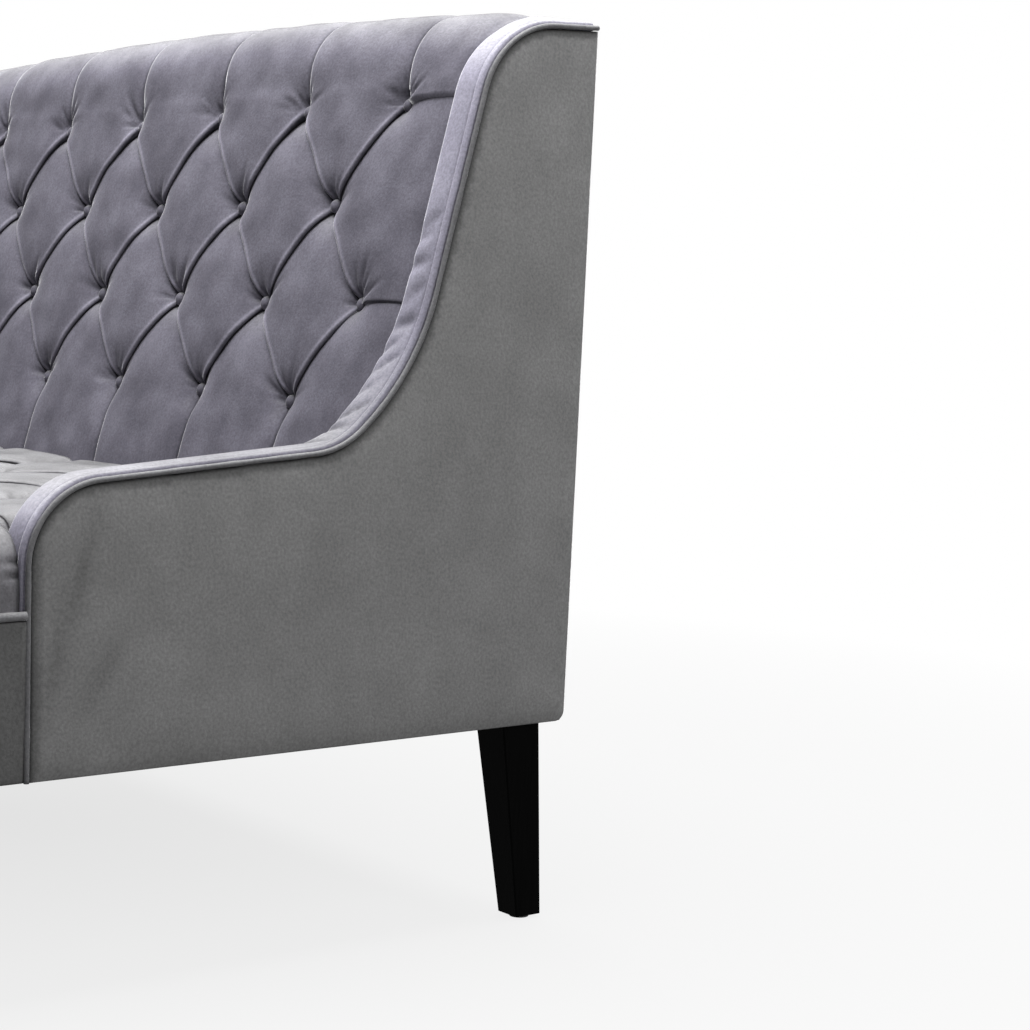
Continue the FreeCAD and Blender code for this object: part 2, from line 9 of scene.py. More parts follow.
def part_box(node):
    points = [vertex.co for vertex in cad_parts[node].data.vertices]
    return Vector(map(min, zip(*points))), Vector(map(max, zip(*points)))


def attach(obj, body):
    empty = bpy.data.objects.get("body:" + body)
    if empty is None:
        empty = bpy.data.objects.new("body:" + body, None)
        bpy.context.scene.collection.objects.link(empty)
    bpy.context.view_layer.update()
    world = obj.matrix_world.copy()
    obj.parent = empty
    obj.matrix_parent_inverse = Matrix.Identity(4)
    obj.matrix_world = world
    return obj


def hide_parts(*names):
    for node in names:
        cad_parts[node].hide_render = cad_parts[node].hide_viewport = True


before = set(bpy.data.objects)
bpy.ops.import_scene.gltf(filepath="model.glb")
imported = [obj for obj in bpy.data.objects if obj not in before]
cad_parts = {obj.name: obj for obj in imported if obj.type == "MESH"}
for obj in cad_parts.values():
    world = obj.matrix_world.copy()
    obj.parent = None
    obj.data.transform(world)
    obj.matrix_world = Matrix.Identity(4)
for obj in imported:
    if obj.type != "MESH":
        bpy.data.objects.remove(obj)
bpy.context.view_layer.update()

bpy.ops.object.select_all(action="DESELECT")


# Frame timber: rails, posts, blocks and cleats of planed beech, glued and pinned, and hidden by the covers.
# Planed beech is pale and even, with short darker flecks along the grain.
def linear(colour):
    """An sRGB hex colour as linear red, green, blue and alpha."""
    parts = [int(colour[i:i + 2], 16) / 255 for i in (1, 3, 5)]
    return [c / 12.92 if c <= 0.04045 else ((c + 0.055) / 1.055) ** 2.4 for c in parts] + [1.0]


def add(tree, kind, settings, output=0):
    """An output of a new node. A socket among the settings is linked to the input of that name, other values
    are set."""
    node = tree.nodes.new("ShaderNode" + kind)
    for name, value in settings.items():
        if isinstance(name, str) and hasattr(node, name):
            setattr(node, name, value)
        elif isinstance(value, bpy.types.NodeSocket):
            tree.links.new(value, node.inputs[name])
        else:
            node.inputs[name].default_value = value
    return node.outputs[output]


def material(name, sockets):
    """A material with its shader's sockets set, its node tree and its Object coordinates."""
    made = bpy.data.materials.new(name)
    made.use_nodes = True
    shader = made.node_tree.nodes["Principled BSDF"]
    for socket, value in sockets.items():
        shader.inputs[socket].default_value = value
    return made, made.node_tree, shader, add(made.node_tree, "TexCoord", {}, "Object")


def noise(tree, where, size_mm, detail):
    """Values from 0 to 1 that drift in patches of about that size."""
    return add(tree, "TexNoise", {"Vector": where, "Scale": 1000 / size_mm, "Detail": detail})


def mottled(tree, shader, where, size_mm, light, dark, detail):
    """Colour that drifts between two tones in patches of about that size."""
    tones = add(tree, "ValToRGB", {"Fac": noise(tree, where, size_mm, detail)})
    for stop, place, colour in zip(tones.node.color_ramp.elements, TONE_STOPS, (dark, light)):
        stop.position = place
        stop.color = linear(colour)
    tree.links.new(tones, shader.inputs["Base Color"])
    return tones


def bumped(tree, shader, where, size_mm, height_mm, detail):
    """Fine relief of about that size and height."""
    relief = add(tree, "Bump", {"Height": noise(tree, where, size_mm, detail), "Distance": height_mm / 1000,
                                "Strength": 1.0})
    tree.links.new(relief, shader.inputs["Normal"])


def surface(name, sockets, size_mm, light, dark, relief=None, stretch=(1.0, 1.0, 1.0), details=(3.0, 2.0)):
    """A finish that drifts between two tones in patches of about one size, with fine relief of a size and
    height if given. The stretch narrows the pattern across the grain of wood."""
    made, tree, shader, where = material(name, sockets)
    where = add(tree, "Mapping", {"Vector": where, "Scale": stretch})
    mottled(tree, shader, where, size_mm, light, dark, details[0])
    if relief:
        bumped(tree, shader, where, *relief, details[1])
    return made


def finish_nodes(made, *names):
    """A finish on the CAD pieces of those names."""
    for name in names:
        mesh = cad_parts[name].data
        mesh.materials.clear()
        mesh.materials.append(made)


SIDES = "left", "right"
TONE_STOPS = 0.3, 0.7
GRAIN_ALONG, PLANED = (1.0, 14.0, 14.0), (5.0, 2.0)
beech = surface("planed_beech", {"Roughness": 0.6}, 42.0, "#d9b98c", "#b98f62", (21.0, 0.2),
                GRAIN_ALONG, PLANED)
finish_nodes(beech, "front_rail", "rear_rail", "centre_stretcher", "webbing_cleat", "tuck_rail",
             "centre_back_post", "back_top_rail", "loose_tenons",
             *(side + piece for side in SIDES for piece in (
                 "_side_rail", "_back_post", "_ear_board", "_front_leg_block", "_rear_leg_block")))

# Arm panels: birch plywood sawn to the sweep of the arm and screwed to the side rails.
# The bands and the side covers are stapled to them and hide them.
birch_ply = surface("birch_plywood", {"Roughness": 0.65}, 56.0, "#dcc49a", "#c2a274", (28.0, 0.2),
                    GRAIN_ALONG, PLANED)
finish_nodes(birch_ply, *(side + "_arm_panel" for side in SIDES))

# Leg bolts and insert nuts: zinc-plated steel, turned and threaded, the nuts driven into the leg blocks.
# The plating is bright and slightly clouded.
zinc = surface("zinc_plated_steel", {"Metallic": 1.0, "Roughness": 0.35}, 6.0, "#c9ccce", "#a9adb0")
finish_nodes(zinc, "leg_bolts", "leg_nuts")

# Legs: tapered square hardwood, stained and lacquered black, bolted into the leg blocks.
# The lacquer is dull, with the pores of the wood just visible along the leg.
LEGS = [side + end for side in SIDES for end in ("_front_leg", "_rear_leg")]
GRAIN_UP, OPEN_PORED = (18.0, 18.0, 1.0), (6.0, 4.0)
lacquer = surface("black_lacquered_wood", {"Roughness": 0.6, "Specular IOR Level": 0.015}, 60.0,
                  "#050505", "#020202", (40.0, 0.15), GRAIN_UP, OPEN_PORED)
finish_nodes(lacquer, *LEGS)

# Glides: moulded nylon discs nailed under the feet, which keep the wood off the floor.
# They are matt and scuffed.
nylon = surface("moulded_nylon", {"Roughness": 0.55}, 4.0, "#3b3a39", "#262524")
finish_nodes(nylon, "leg_glides")


# Webbing: woven elastic straps, stapled over the rails and drawn tight, so that they dip a little in the
# middle. The weave shows as a fine grain.
def mesh_piece(name, points, faces, made, smooth=True):
    """A piece from points in millimetres and faces, with its origin at the sofa's own."""
    mesh = bpy.data.meshes.new(name)
    mesh.from_pydata((np.asarray(points, float) / 1000).tolist(), [], faces)
    mesh.materials.append(made)
    mesh.polygons.foreach_set("use_smooth", [smooth] * len(mesh.polygons))
    mesh.update()
    piece = bpy.data.objects.new(name, mesh)
    bpy.context.scene.collection.objects.link(piece)
    return piece


def stand_for(piece, slot, *nodes):
    """The piece rides on the sofa and stands for those CAD nodes."""
    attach(piece, "root")
    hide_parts(*nodes)
    return piece


def picked(piece):
    """Makes a piece the active one and the only one selected."""
    bpy.ops.object.select_all(action="DESELECT")
    bpy.context.view_layer.objects.active = piece
    piece.select_set(True)


def apply(piece, kind, **settings):
    """A modifier with its settings, applied."""
    picked(piece)
    modifier = piece.modifiers.new(kind, kind)
    for name, value in settings.items():
        setattr(modifier, name, value)
    bpy.ops.object.modifier_apply(modifier=modifier.name)


def node_box(name):
    """Lowest and highest corner of a CAD piece, in millimetres."""
    low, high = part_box(name)
    return np.array(low) * 1000, np.array(high) * 1000


def facing_out(piece):
    """Turns the faces of a closed piece outwards."""
    picked(piece)
    bpy.ops.object.mode_set(mode="EDIT")
    bpy.ops.mesh.select_all(action="SELECT")
    bpy.ops.mesh.normals_make_consistent(inside=False)
    bpy.ops.object.mode_set(mode="OBJECT")
    return piece


def ribbon(first, second):
    """Quads between two rows of points, by their numbers."""
    return np.column_stack([first[:-1], first[1:], second[1:], second[:-1]]).tolist()


def tube_faces(rings, around):
    """Quads of a tube of rings, with both ends closed."""
    i, j = np.meshgrid(np.arange(rings - 1), np.arange(around), indexing="ij")
    a, b = (i * around + j).ravel(), (i * around + (j + 1) % around).ravel()
    faces = np.column_stack([a, a + around, b + around, b]).tolist()
    last = (rings - 1) * around
    return faces + [list(range(around)), [last + n for n in reversed(range(around))]]


elastic = surface("woven_elastic", {"Roughness": 0.9}, 3.0, "#5b4f40", "#3d352b", (2.0, 0.4))
STRAP_SAG = 1.2
STRAP_STEPS = 24


def straps(name, along):
    """Straps in the place of a CAD piece's, running along one axis; those along Y dip between their ends."""
    corners = np.array([v.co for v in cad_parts[name].data.vertices]) * 1000
    low, high = corners.min(0), corners.max(0)
    share = np.linspace(0, 1, STRAP_STEPS + 1)[:, None]
    rings = np.zeros((STRAP_STEPS + 1, 4, 3))
    rings[..., along] = low[along] + (high - low)[along] * share
    rings[..., 2] = (low[2], low[2], high[2], high[2]) - STRAP_SAG * 4 * share * (1 - share) * (along == 1)
    points, faces = [], []
    for near, far in np.unique(corners[:, 1 - along].round(2)).reshape(-1, 2):
        rings[..., 1 - along] = near, far, far, near
        first = 4 * len(rings) * len(points)
        faces += [[first + i for i in face] for face in tube_faces(len(rings), 4)]
        points.append(rings.reshape(-1, 3).copy())
    return facing_out(mesh_piece(name + "_woven", np.concatenate(points), faces, elastic, False))


stand_for(straps("seat_webbing", 1), "webbing", "seat_webbing")
stand_for(straps("cross_webbing", 0), "webbing", "cross_webbing")

# Back webbing: the same straps across the back posts, square to the raked back and stapled at both ends.
# The form is the CAD piece's, with its loose triangles merged and its edges eased.
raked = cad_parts["back_webbing"].data
back_straps = mesh_piece("back_webbing_woven", np.array([v.co for v in raked.vertices]) * 1000,
                         [list(p.vertices) for p in raked.polygons], elastic, False)
apply(back_straps, "WELD", merge_threshold=0.00001)
apply(back_straps, "BEVEL", width=0.0006, segments=2, limit_method="ANGLE")
stand_for(back_straps, "webbing", "back_webbing")

# Felt and foam: a needled felt over the webbing and a block of cut foam that carries the seat pad.
# Both have soft cut edges; the foam shows its open cells.
felt = surface("needled_felt", {"Roughness": 1.0}, 5.0, "#a39c90", "#857e73")
foam = surface("cut_foam", {"Roughness": 0.95}, 2.5, "#e6dfbf", "#cfc59c", (1.5, 0.5))


def eased_block(node, made, edge_mm):
    """A block in the place of a CAD piece, with rounded edges."""
    low, high = node_box(node)
    bpy.ops.mesh.primitive_cube_add(size=1.0)
    piece = bpy.context.object
    piece.name = node + "_block"
    middle, size = Vector((high + low) / 2000), Vector((high - low) / 1000)
    piece.data.transform(Matrix.LocRotScale(middle, None, size))
    piece.data.materials.append(made)
    apply(piece, "BEVEL", width=edge_mm / 1000, segments=4)
    return piece


stand_for(eased_block("seat_felt", felt, 1.0), "felt", "seat_felt")
stand_for(eased_block("seat_foam", foam, 6.0), "foam", "seat_foam")

# Back pad: velvet over wadding and foam, pulled in by buttons in diamonds. The spare cloth is folded over,
# each pillow's lower edges lapping the ones below, and pleats run up over the top roll.
# The pillows are shaped by moving the points of a fine sheet, as in sculpting.
CELLS = 32
TUFT_PITCH = 205.0
HALF_PITCH = TUFT_PITCH / 2
LAST_COLUMN, LAST_ROW = 6, 3
GATHER = 0.75
LAP, LAP_RADIUS = 5.5, 4.2
SAG, SAG_RUN = 2.0, 30.0
TUCK_RUN = 24.0
PLEAT_RUN = 7.0
SEAM_RUN = 9.0
LEVEL_SHARE = 0.3
LIP_REACH, LIP_WIDTH, LIP_CALM = 4.5, 7.0, 22.0
FUNNEL_RUN, FUNNEL_POWER = 20.0, 1.2
BOW, BOW_POWER = 4.0, 1.5
GROW_RUN = 25.0
PUCKERS, PUCKER_REACH = 9, 90.0
PUCKER_FAN, PUCKER_STRAY = (0.08, 0.94), (0.1, 0.9)
PUCKER_PULL, PUCKER_LENGTH, PUCKER_WIDTH = (0.2, 1.0), (12.0, 30.0), (0.09, 0.15)
# The second value paints shade along the wrinkles round each button.
PUCKER_DEPTH, PUCKER_PAINTED_SHADE = 3.2, 0.4
PIT, PIT_RISE, PIT_RADIUS = 6.0, 10.0, 6.0
SLACK, HAND_DRIFT = (0.8, 45.0, 130.0), (3.0, 180.0, 420.0)
WAVES, WAVE_SPREAD = 14, 1.6
# Painted light and shade: a painted highlight along each hem's rim, painted shade under the hems, in the
# tucks and slits and in the button pits.
RIM_LIGHT, RIM_PLACE, RIM_WIDTH = 0.9, 1.1 * LAP_RADIUS, 1.8
HEM_SHADE, TUCK_START, TUCK_SHADE = 1.5, 2.4, 3.0
SLIT_SHADE, SLIT_DARKEST = 6.0, 0.4
PIT_SHADE = 0.55
FAR_OFF, AT_CREASE, NUDGE, TINY = 1e4, 1e-3, 1e-6, 1e-9


def steps(stops, size):
    """Places from stop to stop, in even steps of about one size."""
    places = [stops[0]]
    for start, stop in zip(stops, stops[1:]):
        count = max(1, round(abs(stop - start) / size))
        places += [start + (stop - start) * (n + 1) / count for n in range(count)]
    return np.array(places)


def unevenness(points, seed, size, shortest, longest):
    """Slow waves over places on a cover, of about one size and with lengths between two, as stretched cloth
    has."""
    dice = np.random.default_rng(seed)
    total = np.zeros(points.shape[:-1])
    for _ in range(WAVES):
        length, turn = dice.uniform(shortest, longest), dice.uniform(0, np.pi)
        shift = dice.uniform(0, 2 * np.pi)
        ahead = points[..., 0] * np.cos(turn) + points[..., 1] * np.sin(turn)
        total += np.sin(2 * np.pi * ahead / length + shift)
    return size * (total / WAVES ** 0.5 / WAVE_SPREAD)


def hand_drift(u, v, seed):
    """How far the pattern strays across and along, as marking out by hand leaves it."""
    spots = np.stack([u, v], -1)
    return [unevenness(spots, seed + n, *HAND_DRIFT) for n in range(2)]


def tuft_places(row_start, row_pitch, odd):
    """Places of the buttons across and along, row by row."""
    return [(k * HALF_PITCH, row_start + m * row_pitch) for m in range(LAST_ROW + 1)
            for k in range(-LAST_COLUMN, LAST_COLUMN + 1) if (k + m) % 2 == odd]


def eased(share):
    """A share from 0 to 1, slow at both ends."""
    share = np.clip(share, 0, 1)
    return share * share * (3 - 2 * share)


def bell(far, width, power=2.0):
    """One in the middle, falling off to nothing over about one width."""
    return np.exp(-(far / width) ** power)


def unit(ways):
    """Ways of length one."""
    return ways / np.maximum(np.linalg.norm(ways, axis=-1, keepdims=True), TINY)


def rightwards(ways):
    """Ways turned a quarter to the right."""
    return np.stack([ways[..., 1], -ways[..., 0]], -1)


def every_second(places, first):
    """The nearest of every second whole number, counted from the first."""
    return 2 * np.round((places - first) / 2) + first


def pillow_middles(s, t, odd):
    """The middle of the pillow that each place is on, in half pitches across and rows along."""
    p, q = np.floor((s + t - odd) / 2 + NUDGE), np.floor((s - t - odd) / 2 + NUDGE)
    middle_s, middle_t = p + q + 1 + odd, p - q
    top_s = np.clip(every_second(s, odd), -LAST_COLUMN - odd, LAST_COLUMN + odd)
    low_s = np.clip(every_second(s, odd + 1), odd - 1 - LAST_COLUMN, LAST_COLUMN + 1 - odd)
    side_t = np.clip(every_second(t, odd + 1), odd - 1, LAST_ROW + odd)
    beyond = np.abs(s) > LAST_COLUMN
    middle_s = np.where(beyond, np.sign(s) * LAST_COLUMN, middle_s)
    middle_s = np.where(t > LAST_ROW, top_s, np.where(t < 0, low_s, middle_s))
    middle_t = np.where(t > LAST_ROW, LAST_ROW, np.where(t < 0, 0, middle_t))
    return middle_s, np.where(beyond, side_t, middle_t)


def gathered(share):
    """Places from crease to crease, counted in cells, drawn closer together near the creases."""
    return share - GATHER * np.sin(2 * np.pi * share) / (2 * np.pi)


def sheet_places(u, v, row_start, row_pitch, odd):
    """Half pitches across and rows along of a sheet's points, which lie closest where the cloth is folded."""
    s, t = np.meshgrid(u / HALF_PITCH, (v - row_start) / row_pitch, indexing="ij")
    beyond, above = np.abs(s) > LAST_COLUMN, t > LAST_ROW
    ends = above | (t < 0)
    p, q = gathered((s + t - odd) / 2), gathered((s - t - odd) / 2)
    strip = 2 * gathered((s - odd - above) / 2) + odd + above
    side = 2 * gathered((t - odd) / 2) + odd
    near_s = np.where(beyond, s, np.where(ends, strip, p + q + odd))
    near_t = np.where(ends, t, np.where(beyond, side, p - q))
    return near_s, near_t


def tufted(u, v, row_start, row_pitch, odd, sizes, seam, seed):
    """Places across, along and out of cloth tufted in diamonds, for a grid of places u and v,
    with the distance to the nearest crease and the painted light and shade of the cloth: painted shade
    in creases, slits, button pits and wrinkles, and a painted highlight along the hems.

    sizes holds how deep the buttons pull and the depth of the pleats before the first and after the last row;
    seam holds the distance to the seams and their depth."""
    pull, low_pleat, high_pleat = sizes
    s, t = sheet_places(u, v, row_start, row_pitch, odd)
    across, along = s * HALF_PITCH, t * row_pitch + row_start
    middle_s, middle_t = pillow_middles(s, t, odd)
    span = 1 / math.hypot(1 / HALF_PITCH, 1 / row_pitch)

    def button(step_s, step_t):
        row = middle_t + step_t
        return (np.abs(middle_s + step_s) <= LAST_COLUMN) & (row >= 0) & (row <= LAST_ROW)

    left, right, low, high = button(-1, 0), button(1, 0), button(0, -1), button(0, 1)
    rise, fall = s + t - middle_s - middle_t, s - t - middle_s + middle_t
    edges = [(left & low, rise + 1), (right & low, 1 - fall), (left & high, 1 + fall),
             (right & high, 1 - rise)]
    low_left, low_right, high_left, high_right = [
        np.where(there, far * span, FAR_OFF) for there, far in edges]
    ends = (t > LAST_ROW) | (t < 0)
    pleats = [np.where(ends & (np.abs(middle_s + way) <= LAST_COLUMN),
                       (1 - way * (s - middle_s)) * HALF_PITCH, FAR_OFF) for way in (-1, 1)]
    beyond = np.abs(s) > LAST_COLUMN
    rows = [np.where(beyond & (middle_t + way >= 0) & (middle_t + way <= LAST_ROW),
                     (1 - way * (t - middle_t)) * row_pitch, FAR_OFF) for way in (-1, 1)]

    def lapped(gap):
        share = 1 - np.clip(gap / LAP_RADIUS, 0, 1)
        return LAP * (1 - np.sqrt(1 - share * share)) + SAG * bell(gap, SAG_RUN, 1)

    def tucked(gap):
        return (LAP + SAG) * bell(gap, TUCK_RUN, 1)

    tufts = tuft_places(row_start, row_pitch, odd)
    reach = np.minimum.reduce([np.hypot(across - x, along - y) for x, y in tufts])
    grown = eased(np.maximum(-t, t - LAST_ROW) * row_pitch / GROW_RUN)
    pleat_depth = np.where(t < 0, low_pleat, high_pleat) * grown
    level = LEVEL_SHARE * eased((np.abs(s) - LAST_COLUMN) * HALF_PITCH / GROW_RUN)
    out = -lapped(low_left) - lapped(low_right) - tucked(high_left) - tucked(high_right)
    out -= pleat_depth * (bell(pleats[0], PLEAT_RUN, 1) + bell(pleats[1], PLEAT_RUN, 1))
    out -= level * (lapped(rows[0]) + tucked(rows[1]))
    out -= pull * bell(reach, FUNNEL_RUN, FUNNEL_POWER)
    seam_gap, seam_depth = seam
    out -= seam_depth * bell(seam_gap, SEAM_RUN, 1)

    calm = LIP_REACH * (1 - bell(reach, LIP_CALM))
    lips = [np.where(gap > AT_CREASE, calm * bell(gap, LIP_WIDTH), 0)
            for gap in (low_left, low_right, rows[0])]
    du = (lips[1] - lips[0]) * span / HALF_PITCH
    dv = -(lips[0] + lips[1]) * span / row_pitch - lips[2] * level
    inside = ~beyond & ~ends
    dv += np.where(inside, BOW * np.abs(np.sin(np.pi * s) * np.sin(np.pi * t)) ** BOW_POWER, 0.0)

    dice = np.random.default_rng(seed)
    # These gather the painted shade of the button pits and of the wrinkle lines round each button.
    shade, wrinkle_shade = np.zeros(s.shape), np.zeros(s.shape)
    for x, y in tufts:
        a, b = across - x, along - y
        far, angle = np.hypot(a, b), np.arctan2(b, a)
        ripple = np.zeros(s.shape)
        for n in range(PUCKERS):
            turn = math.pi * (PUCKER_FAN[0] + PUCKER_FAN[1] * (n + dice.uniform(*PUCKER_STRAY)) / PUCKERS)
            strength, length = dice.uniform(*PUCKER_PULL), dice.uniform(*PUCKER_LENGTH)
            ray = bell(angle - turn, dice.uniform(*PUCKER_WIDTH))
            ripple -= strength * ray * (far / length) ** 2 * math.e * bell(far, length)
        out += np.where(far < PUCKER_REACH, PUCKER_DEPTH * ripple, 0)
        wrinkle_shade += np.where(far < PUCKER_REACH, ripple, 0)
        pit = bell(np.hypot(a, b - PIT_RISE), PIT_RADIUS)
        out -= PIT * pit
        shade = np.maximum(shade, pit)
    out += unevenness(np.stack([across, along], -1), seed + 2, *SLACK)

    # The cloth's colour gets painted shade in the creases, slits, pits and wrinkles and a painted highlight
    # along the hems' rims.
    hems = np.minimum(low_left, low_right)
    tucks = np.minimum(high_left, high_right)
    slits = np.minimum.reduce(pleats + rows)
    crease = np.minimum.reduce([hems, tucks, slits])
    rim = RIM_LIGHT * bell(hems - RIM_PLACE, RIM_WIDTH)
    shown = np.minimum(hems / HEM_SHADE, (tucks - TUCK_START) / TUCK_SHADE)
    painted_light = np.clip(shown, 0, 1) + rim
    painted_light *= SLIT_DARKEST + np.clip(slits / SLIT_SHADE, 0, 1 - SLIT_DARKEST)
    painted_light = painted_light * (1 - PIT_SHADE * shade) + PUCKER_PAINTED_SHADE * wrinkle_shade
    stray = hand_drift(across, along, seed)
    return across + du + stray[0], along + dv + stray[1], out, crease, painted_light


BACK_RAKE = math.radians(14.0)
FACE_FOOT = (402.15, 411.3)
ARM_Y = -293.5
FACE_LENGTH = 545.8
ROLL_RADIUS = 103.0
ROLL_TURN = math.radians(104.0)
SHOULDER_RUN, SHOULDER_DROP = 30.0, 14.0
EDGE_REACH = 7.0
TUCK_Z, TUCK_BACK = 985.0, 683.0
BACK_ROW_PITCH = 117.5
BACK_LOW_ROW = 179.0
BACK_ODD, BACK_SEED = 1, 5
BACK_SIZES = (15.0, 7.0, 7.0)
BACK_SEAM = 12.0
FACE_SET = 12.0
ROLL_PROUD, ROLL_CROWN = 12.0, 11.0
ROLL_DELAY, CROWN_FALL = 10.0, 1.8
PAD_DEPTH = 62.0
NAP_MM, FLECK_MM, PILE_MM, PILE_HEIGHT_MM = 55.0, 3.2, 2.4, 0.25
BACK_TUFT_DEPTH = FACE_SET + 2 * (LAP + SAG) + BACK_SIZES[0]


def points_at(x, back, z):
    """Points from places across, back and up, in millimetres."""
    return np.stack(np.broadcast_arrays(x, back + ARM_Y, z), -1)


def back_place(x, v, out):
    """Points of the back in millimetres: up the raked face and round the top roll to the rear."""
    turn = np.maximum((v - FACE_LENGTH) / ROLL_RADIUS, 0)
    lean = BACK_RAKE + turn
    up = np.minimum(v, FACE_LENGTH)
    back = FACE_FOOT[0] + up * math.sin(BACK_RAKE) + ROLL_RADIUS * (math.cos(BACK_RAKE) - np.cos(lean))
    z = FACE_FOOT[1] + up * math.cos(BACK_RAKE) + ROLL_RADIUS * (np.sin(lean) - math.sin(BACK_RAKE))
    return points_at(x, back - out * np.cos(lean), z + out * np.sin(lean))


def sheet_faces(crease, keep=None):
    """Triangles of a sheet's grid, each square parted along the crease that runs through it."""
    rows, columns = crease.shape
    index = np.arange(rows * columns).reshape(rows, columns)
    a, b, c, d = index[:-1, :-1], index[1:, :-1], index[1:, 1:], index[:-1, 1:]
    rising = crease[:-1, :-1] + crease[1:, 1:] <= crease[1:, :-1] + crease[:-1, 1:]
    one = np.where(rising[..., None], np.stack([a, b, c], -1), np.stack([a, b, d], -1))
    two = np.where(rising[..., None], np.stack([a, c, d], -1), np.stack([b, c, d], -1))
    if keep is not None:
        one, two = one[keep], two[keep]
    return np.concatenate([one.reshape(-1, 3), two.reshape(-1, 3)])


def velvet(name, light, dark, sheen_colour, depth=0.5):
    """Cotton velvet: dense short pile that brightens towards grazing angles, with patches of nap brushed
    this way and that. Its colour carries painted shade and light from a piece's own open attribute: darker
    in creases and seams, lighter along rims. Pile that faces straight up is paled and greyed, a painted
    highlight.
    The pile is too fine to show and is drawn about twice as coarse."""
    made, tree, shader, where = material(name, {
        "Roughness": 0.95, "Specular IOR Level": 0.1, "Sheen Weight": 1.0,
        "Sheen Roughness": 0.18, "Sheen Tint": linear(sheen_colour)})
    nap = mottled(tree, shader, where, NAP_MM, light, dark, detail=5.0)
    speckle = noise(tree, where, FLECK_MM, 2.0)
    fleck = add(tree, "MapRange", {"Value": speckle, "From Min": 0.3, "From Max": 0.7, "To Min": 0.85,
                                   "To Max": 1.15})
    # Painted shade and light: the open attribute darkens or lightens the base colour, and faces turned
    # upwards are paled as if lit from above.
    opened = add(tree, "Attribute", {"attribute_name": "open"}, "Fac")
    fold_and_shade = add(tree, "MapRange", {"Value": opened, "To Min": depth, "To Max": 1.0, "clamp": False})
    tone = add(tree, "Math", {"operation": "MULTIPLY", 0: fleck, 1: fold_and_shade})
    shaded = add(tree, "VectorMath", {"operation": "SCALE", 0: nap, "Scale": tone})
    upward = add(tree, "SeparateXYZ", {"Vector": add(tree, "NewGeometry", {}, "Normal")}, "Z")
    tint = add(tree, "MapRange", {"Value": upward, "From Min": 0.4, "From Max": 0.9, "To Min": 1.0,
                                  "To Max": 0.35})
    paled = add(tree, "HueSaturation", {"Color": shaded, "Saturation": tint})
    tree.links.new(paled, shader.inputs["Base Color"])
    bumped(tree, shader, where, PILE_MM, PILE_HEIGHT_MM, detail=3.0)
    return made


def set_painted_light(piece, values):
    """Notes on a piece's points the painted light and shade that darkens or lightens their colour: all alike,
    or the first ones by a list.
    """
    noted = np.ones(len(piece.data.vertices))
    noted[:len(values) if np.ndim(values) else None] = values
    piece.data.attributes.new("open", "FLOAT", "POINT").data.foreach_set("value", noted)


def cover(name, points, faces, made, slot, node, painted_light=1.0, fill=1.0):
    """A closed soft piece that stands for a CAD piece, with the painted light and shade of its points."""
    piece = facing_out(mesh_piece(name, points, faces, made))
    set_painted_light(piece, painted_light)
    stand_for(piece, slot, node)


tufted_velvet = velvet("violet_grey_velvet", "#686670", "#54525b", "#f2f2f3", 0.2)
back_edge = node_box("back_pad")[1][0]
last_u = LAST_COLUMN * HALF_PITCH
back_u = steps([-back_edge, -last_u, last_u, back_edge], HALF_PITCH / CELLS)
back_end = FACE_LENGTH + ROLL_RADIUS * ROLL_TURN
back_rows = BACK_LOW_ROW, BACK_LOW_ROW + LAST_ROW * BACK_ROW_PITCH
back_v = steps([0.0, *back_rows, back_end], BACK_ROW_PITCH / CELLS)
grid_u, grid_v = np.meshgrid(back_u, back_v, indexing="ij")
seam = (back_edge - np.abs(grid_u), BACK_SEAM)
across, along, out, crease, painted_light = tufted(
    back_u, back_v, BACK_LOW_ROW, BACK_ROW_PITCH, BACK_ODD, BACK_SIZES, seam, BACK_SEED)
rolled = eased((grid_v - FACE_LENGTH - ROLL_DELAY) / ROLL_RADIUS)
crown = ROLL_CROWN * (1 - CROWN_FALL * (grid_u / back_edge) ** 2)
out += -FACE_SET * (1 - rolled) + (ROLL_PROUD + crown) * rolled
shoulder = np.clip(1 - (back_end - grid_v) / SHOULDER_RUN, 0, 1)
out -= SHOULDER_DROP * (1 - np.sqrt(1 - shoulder ** 2))
across[[0, -1]] = grid_u[[0, -1]] * (1 + EDGE_REACH / back_edge)
points = back_place(across, along, out).reshape(-1, 3)
faces = sheet_faces(crease).tolist()
sheet = np.arange(len(points)).reshape(crease.shape)
top = sheet[:, -1]
inner_left, inner_right = len(points) + np.arange(2 * len(back_v)).reshape(2, -1)
tucked = inner_right[-1] + 1 + np.arange(len(top))
pad_side = back_edge + EDGE_REACH
inner = [back_place(np.full(len(back_v), side), back_v, -PAD_DEPTH) for side in (-pad_side, pad_side)]
points = np.concatenate([points, *inner, points_at(points[top, 0], TUCK_BACK, TUCK_Z)])
for rows in ((sheet[0], inner_left), (sheet[-1], inner_right), (inner_left, inner_right), (top, tucked)):
    faces += ribbon(*rows)
ends = inner_left[-1], inner_right[-1]
faces += [[*sheet[::-1, 0], inner_left[0], inner_right[0]], [*tucked, *ends[::-1]],
          [top[0], tucked[0], ends[0]], [tucked[-1], top[-1], ends[1]]]
cover("tufted_back", points, faces, tufted_velvet, "velvet_tufted", "back_pad", painted_light.ravel(), 0.8)

# Back buttons: metal blanks covered with the same velvet, their cords pulled through the back and tied off.
# The cloth is drawn tight over a low dome and gathered under it.
BUTTON_RADIUS, BUTTON_DOME = 8.5, 6.5
BUTTON_LIFT = 11.0


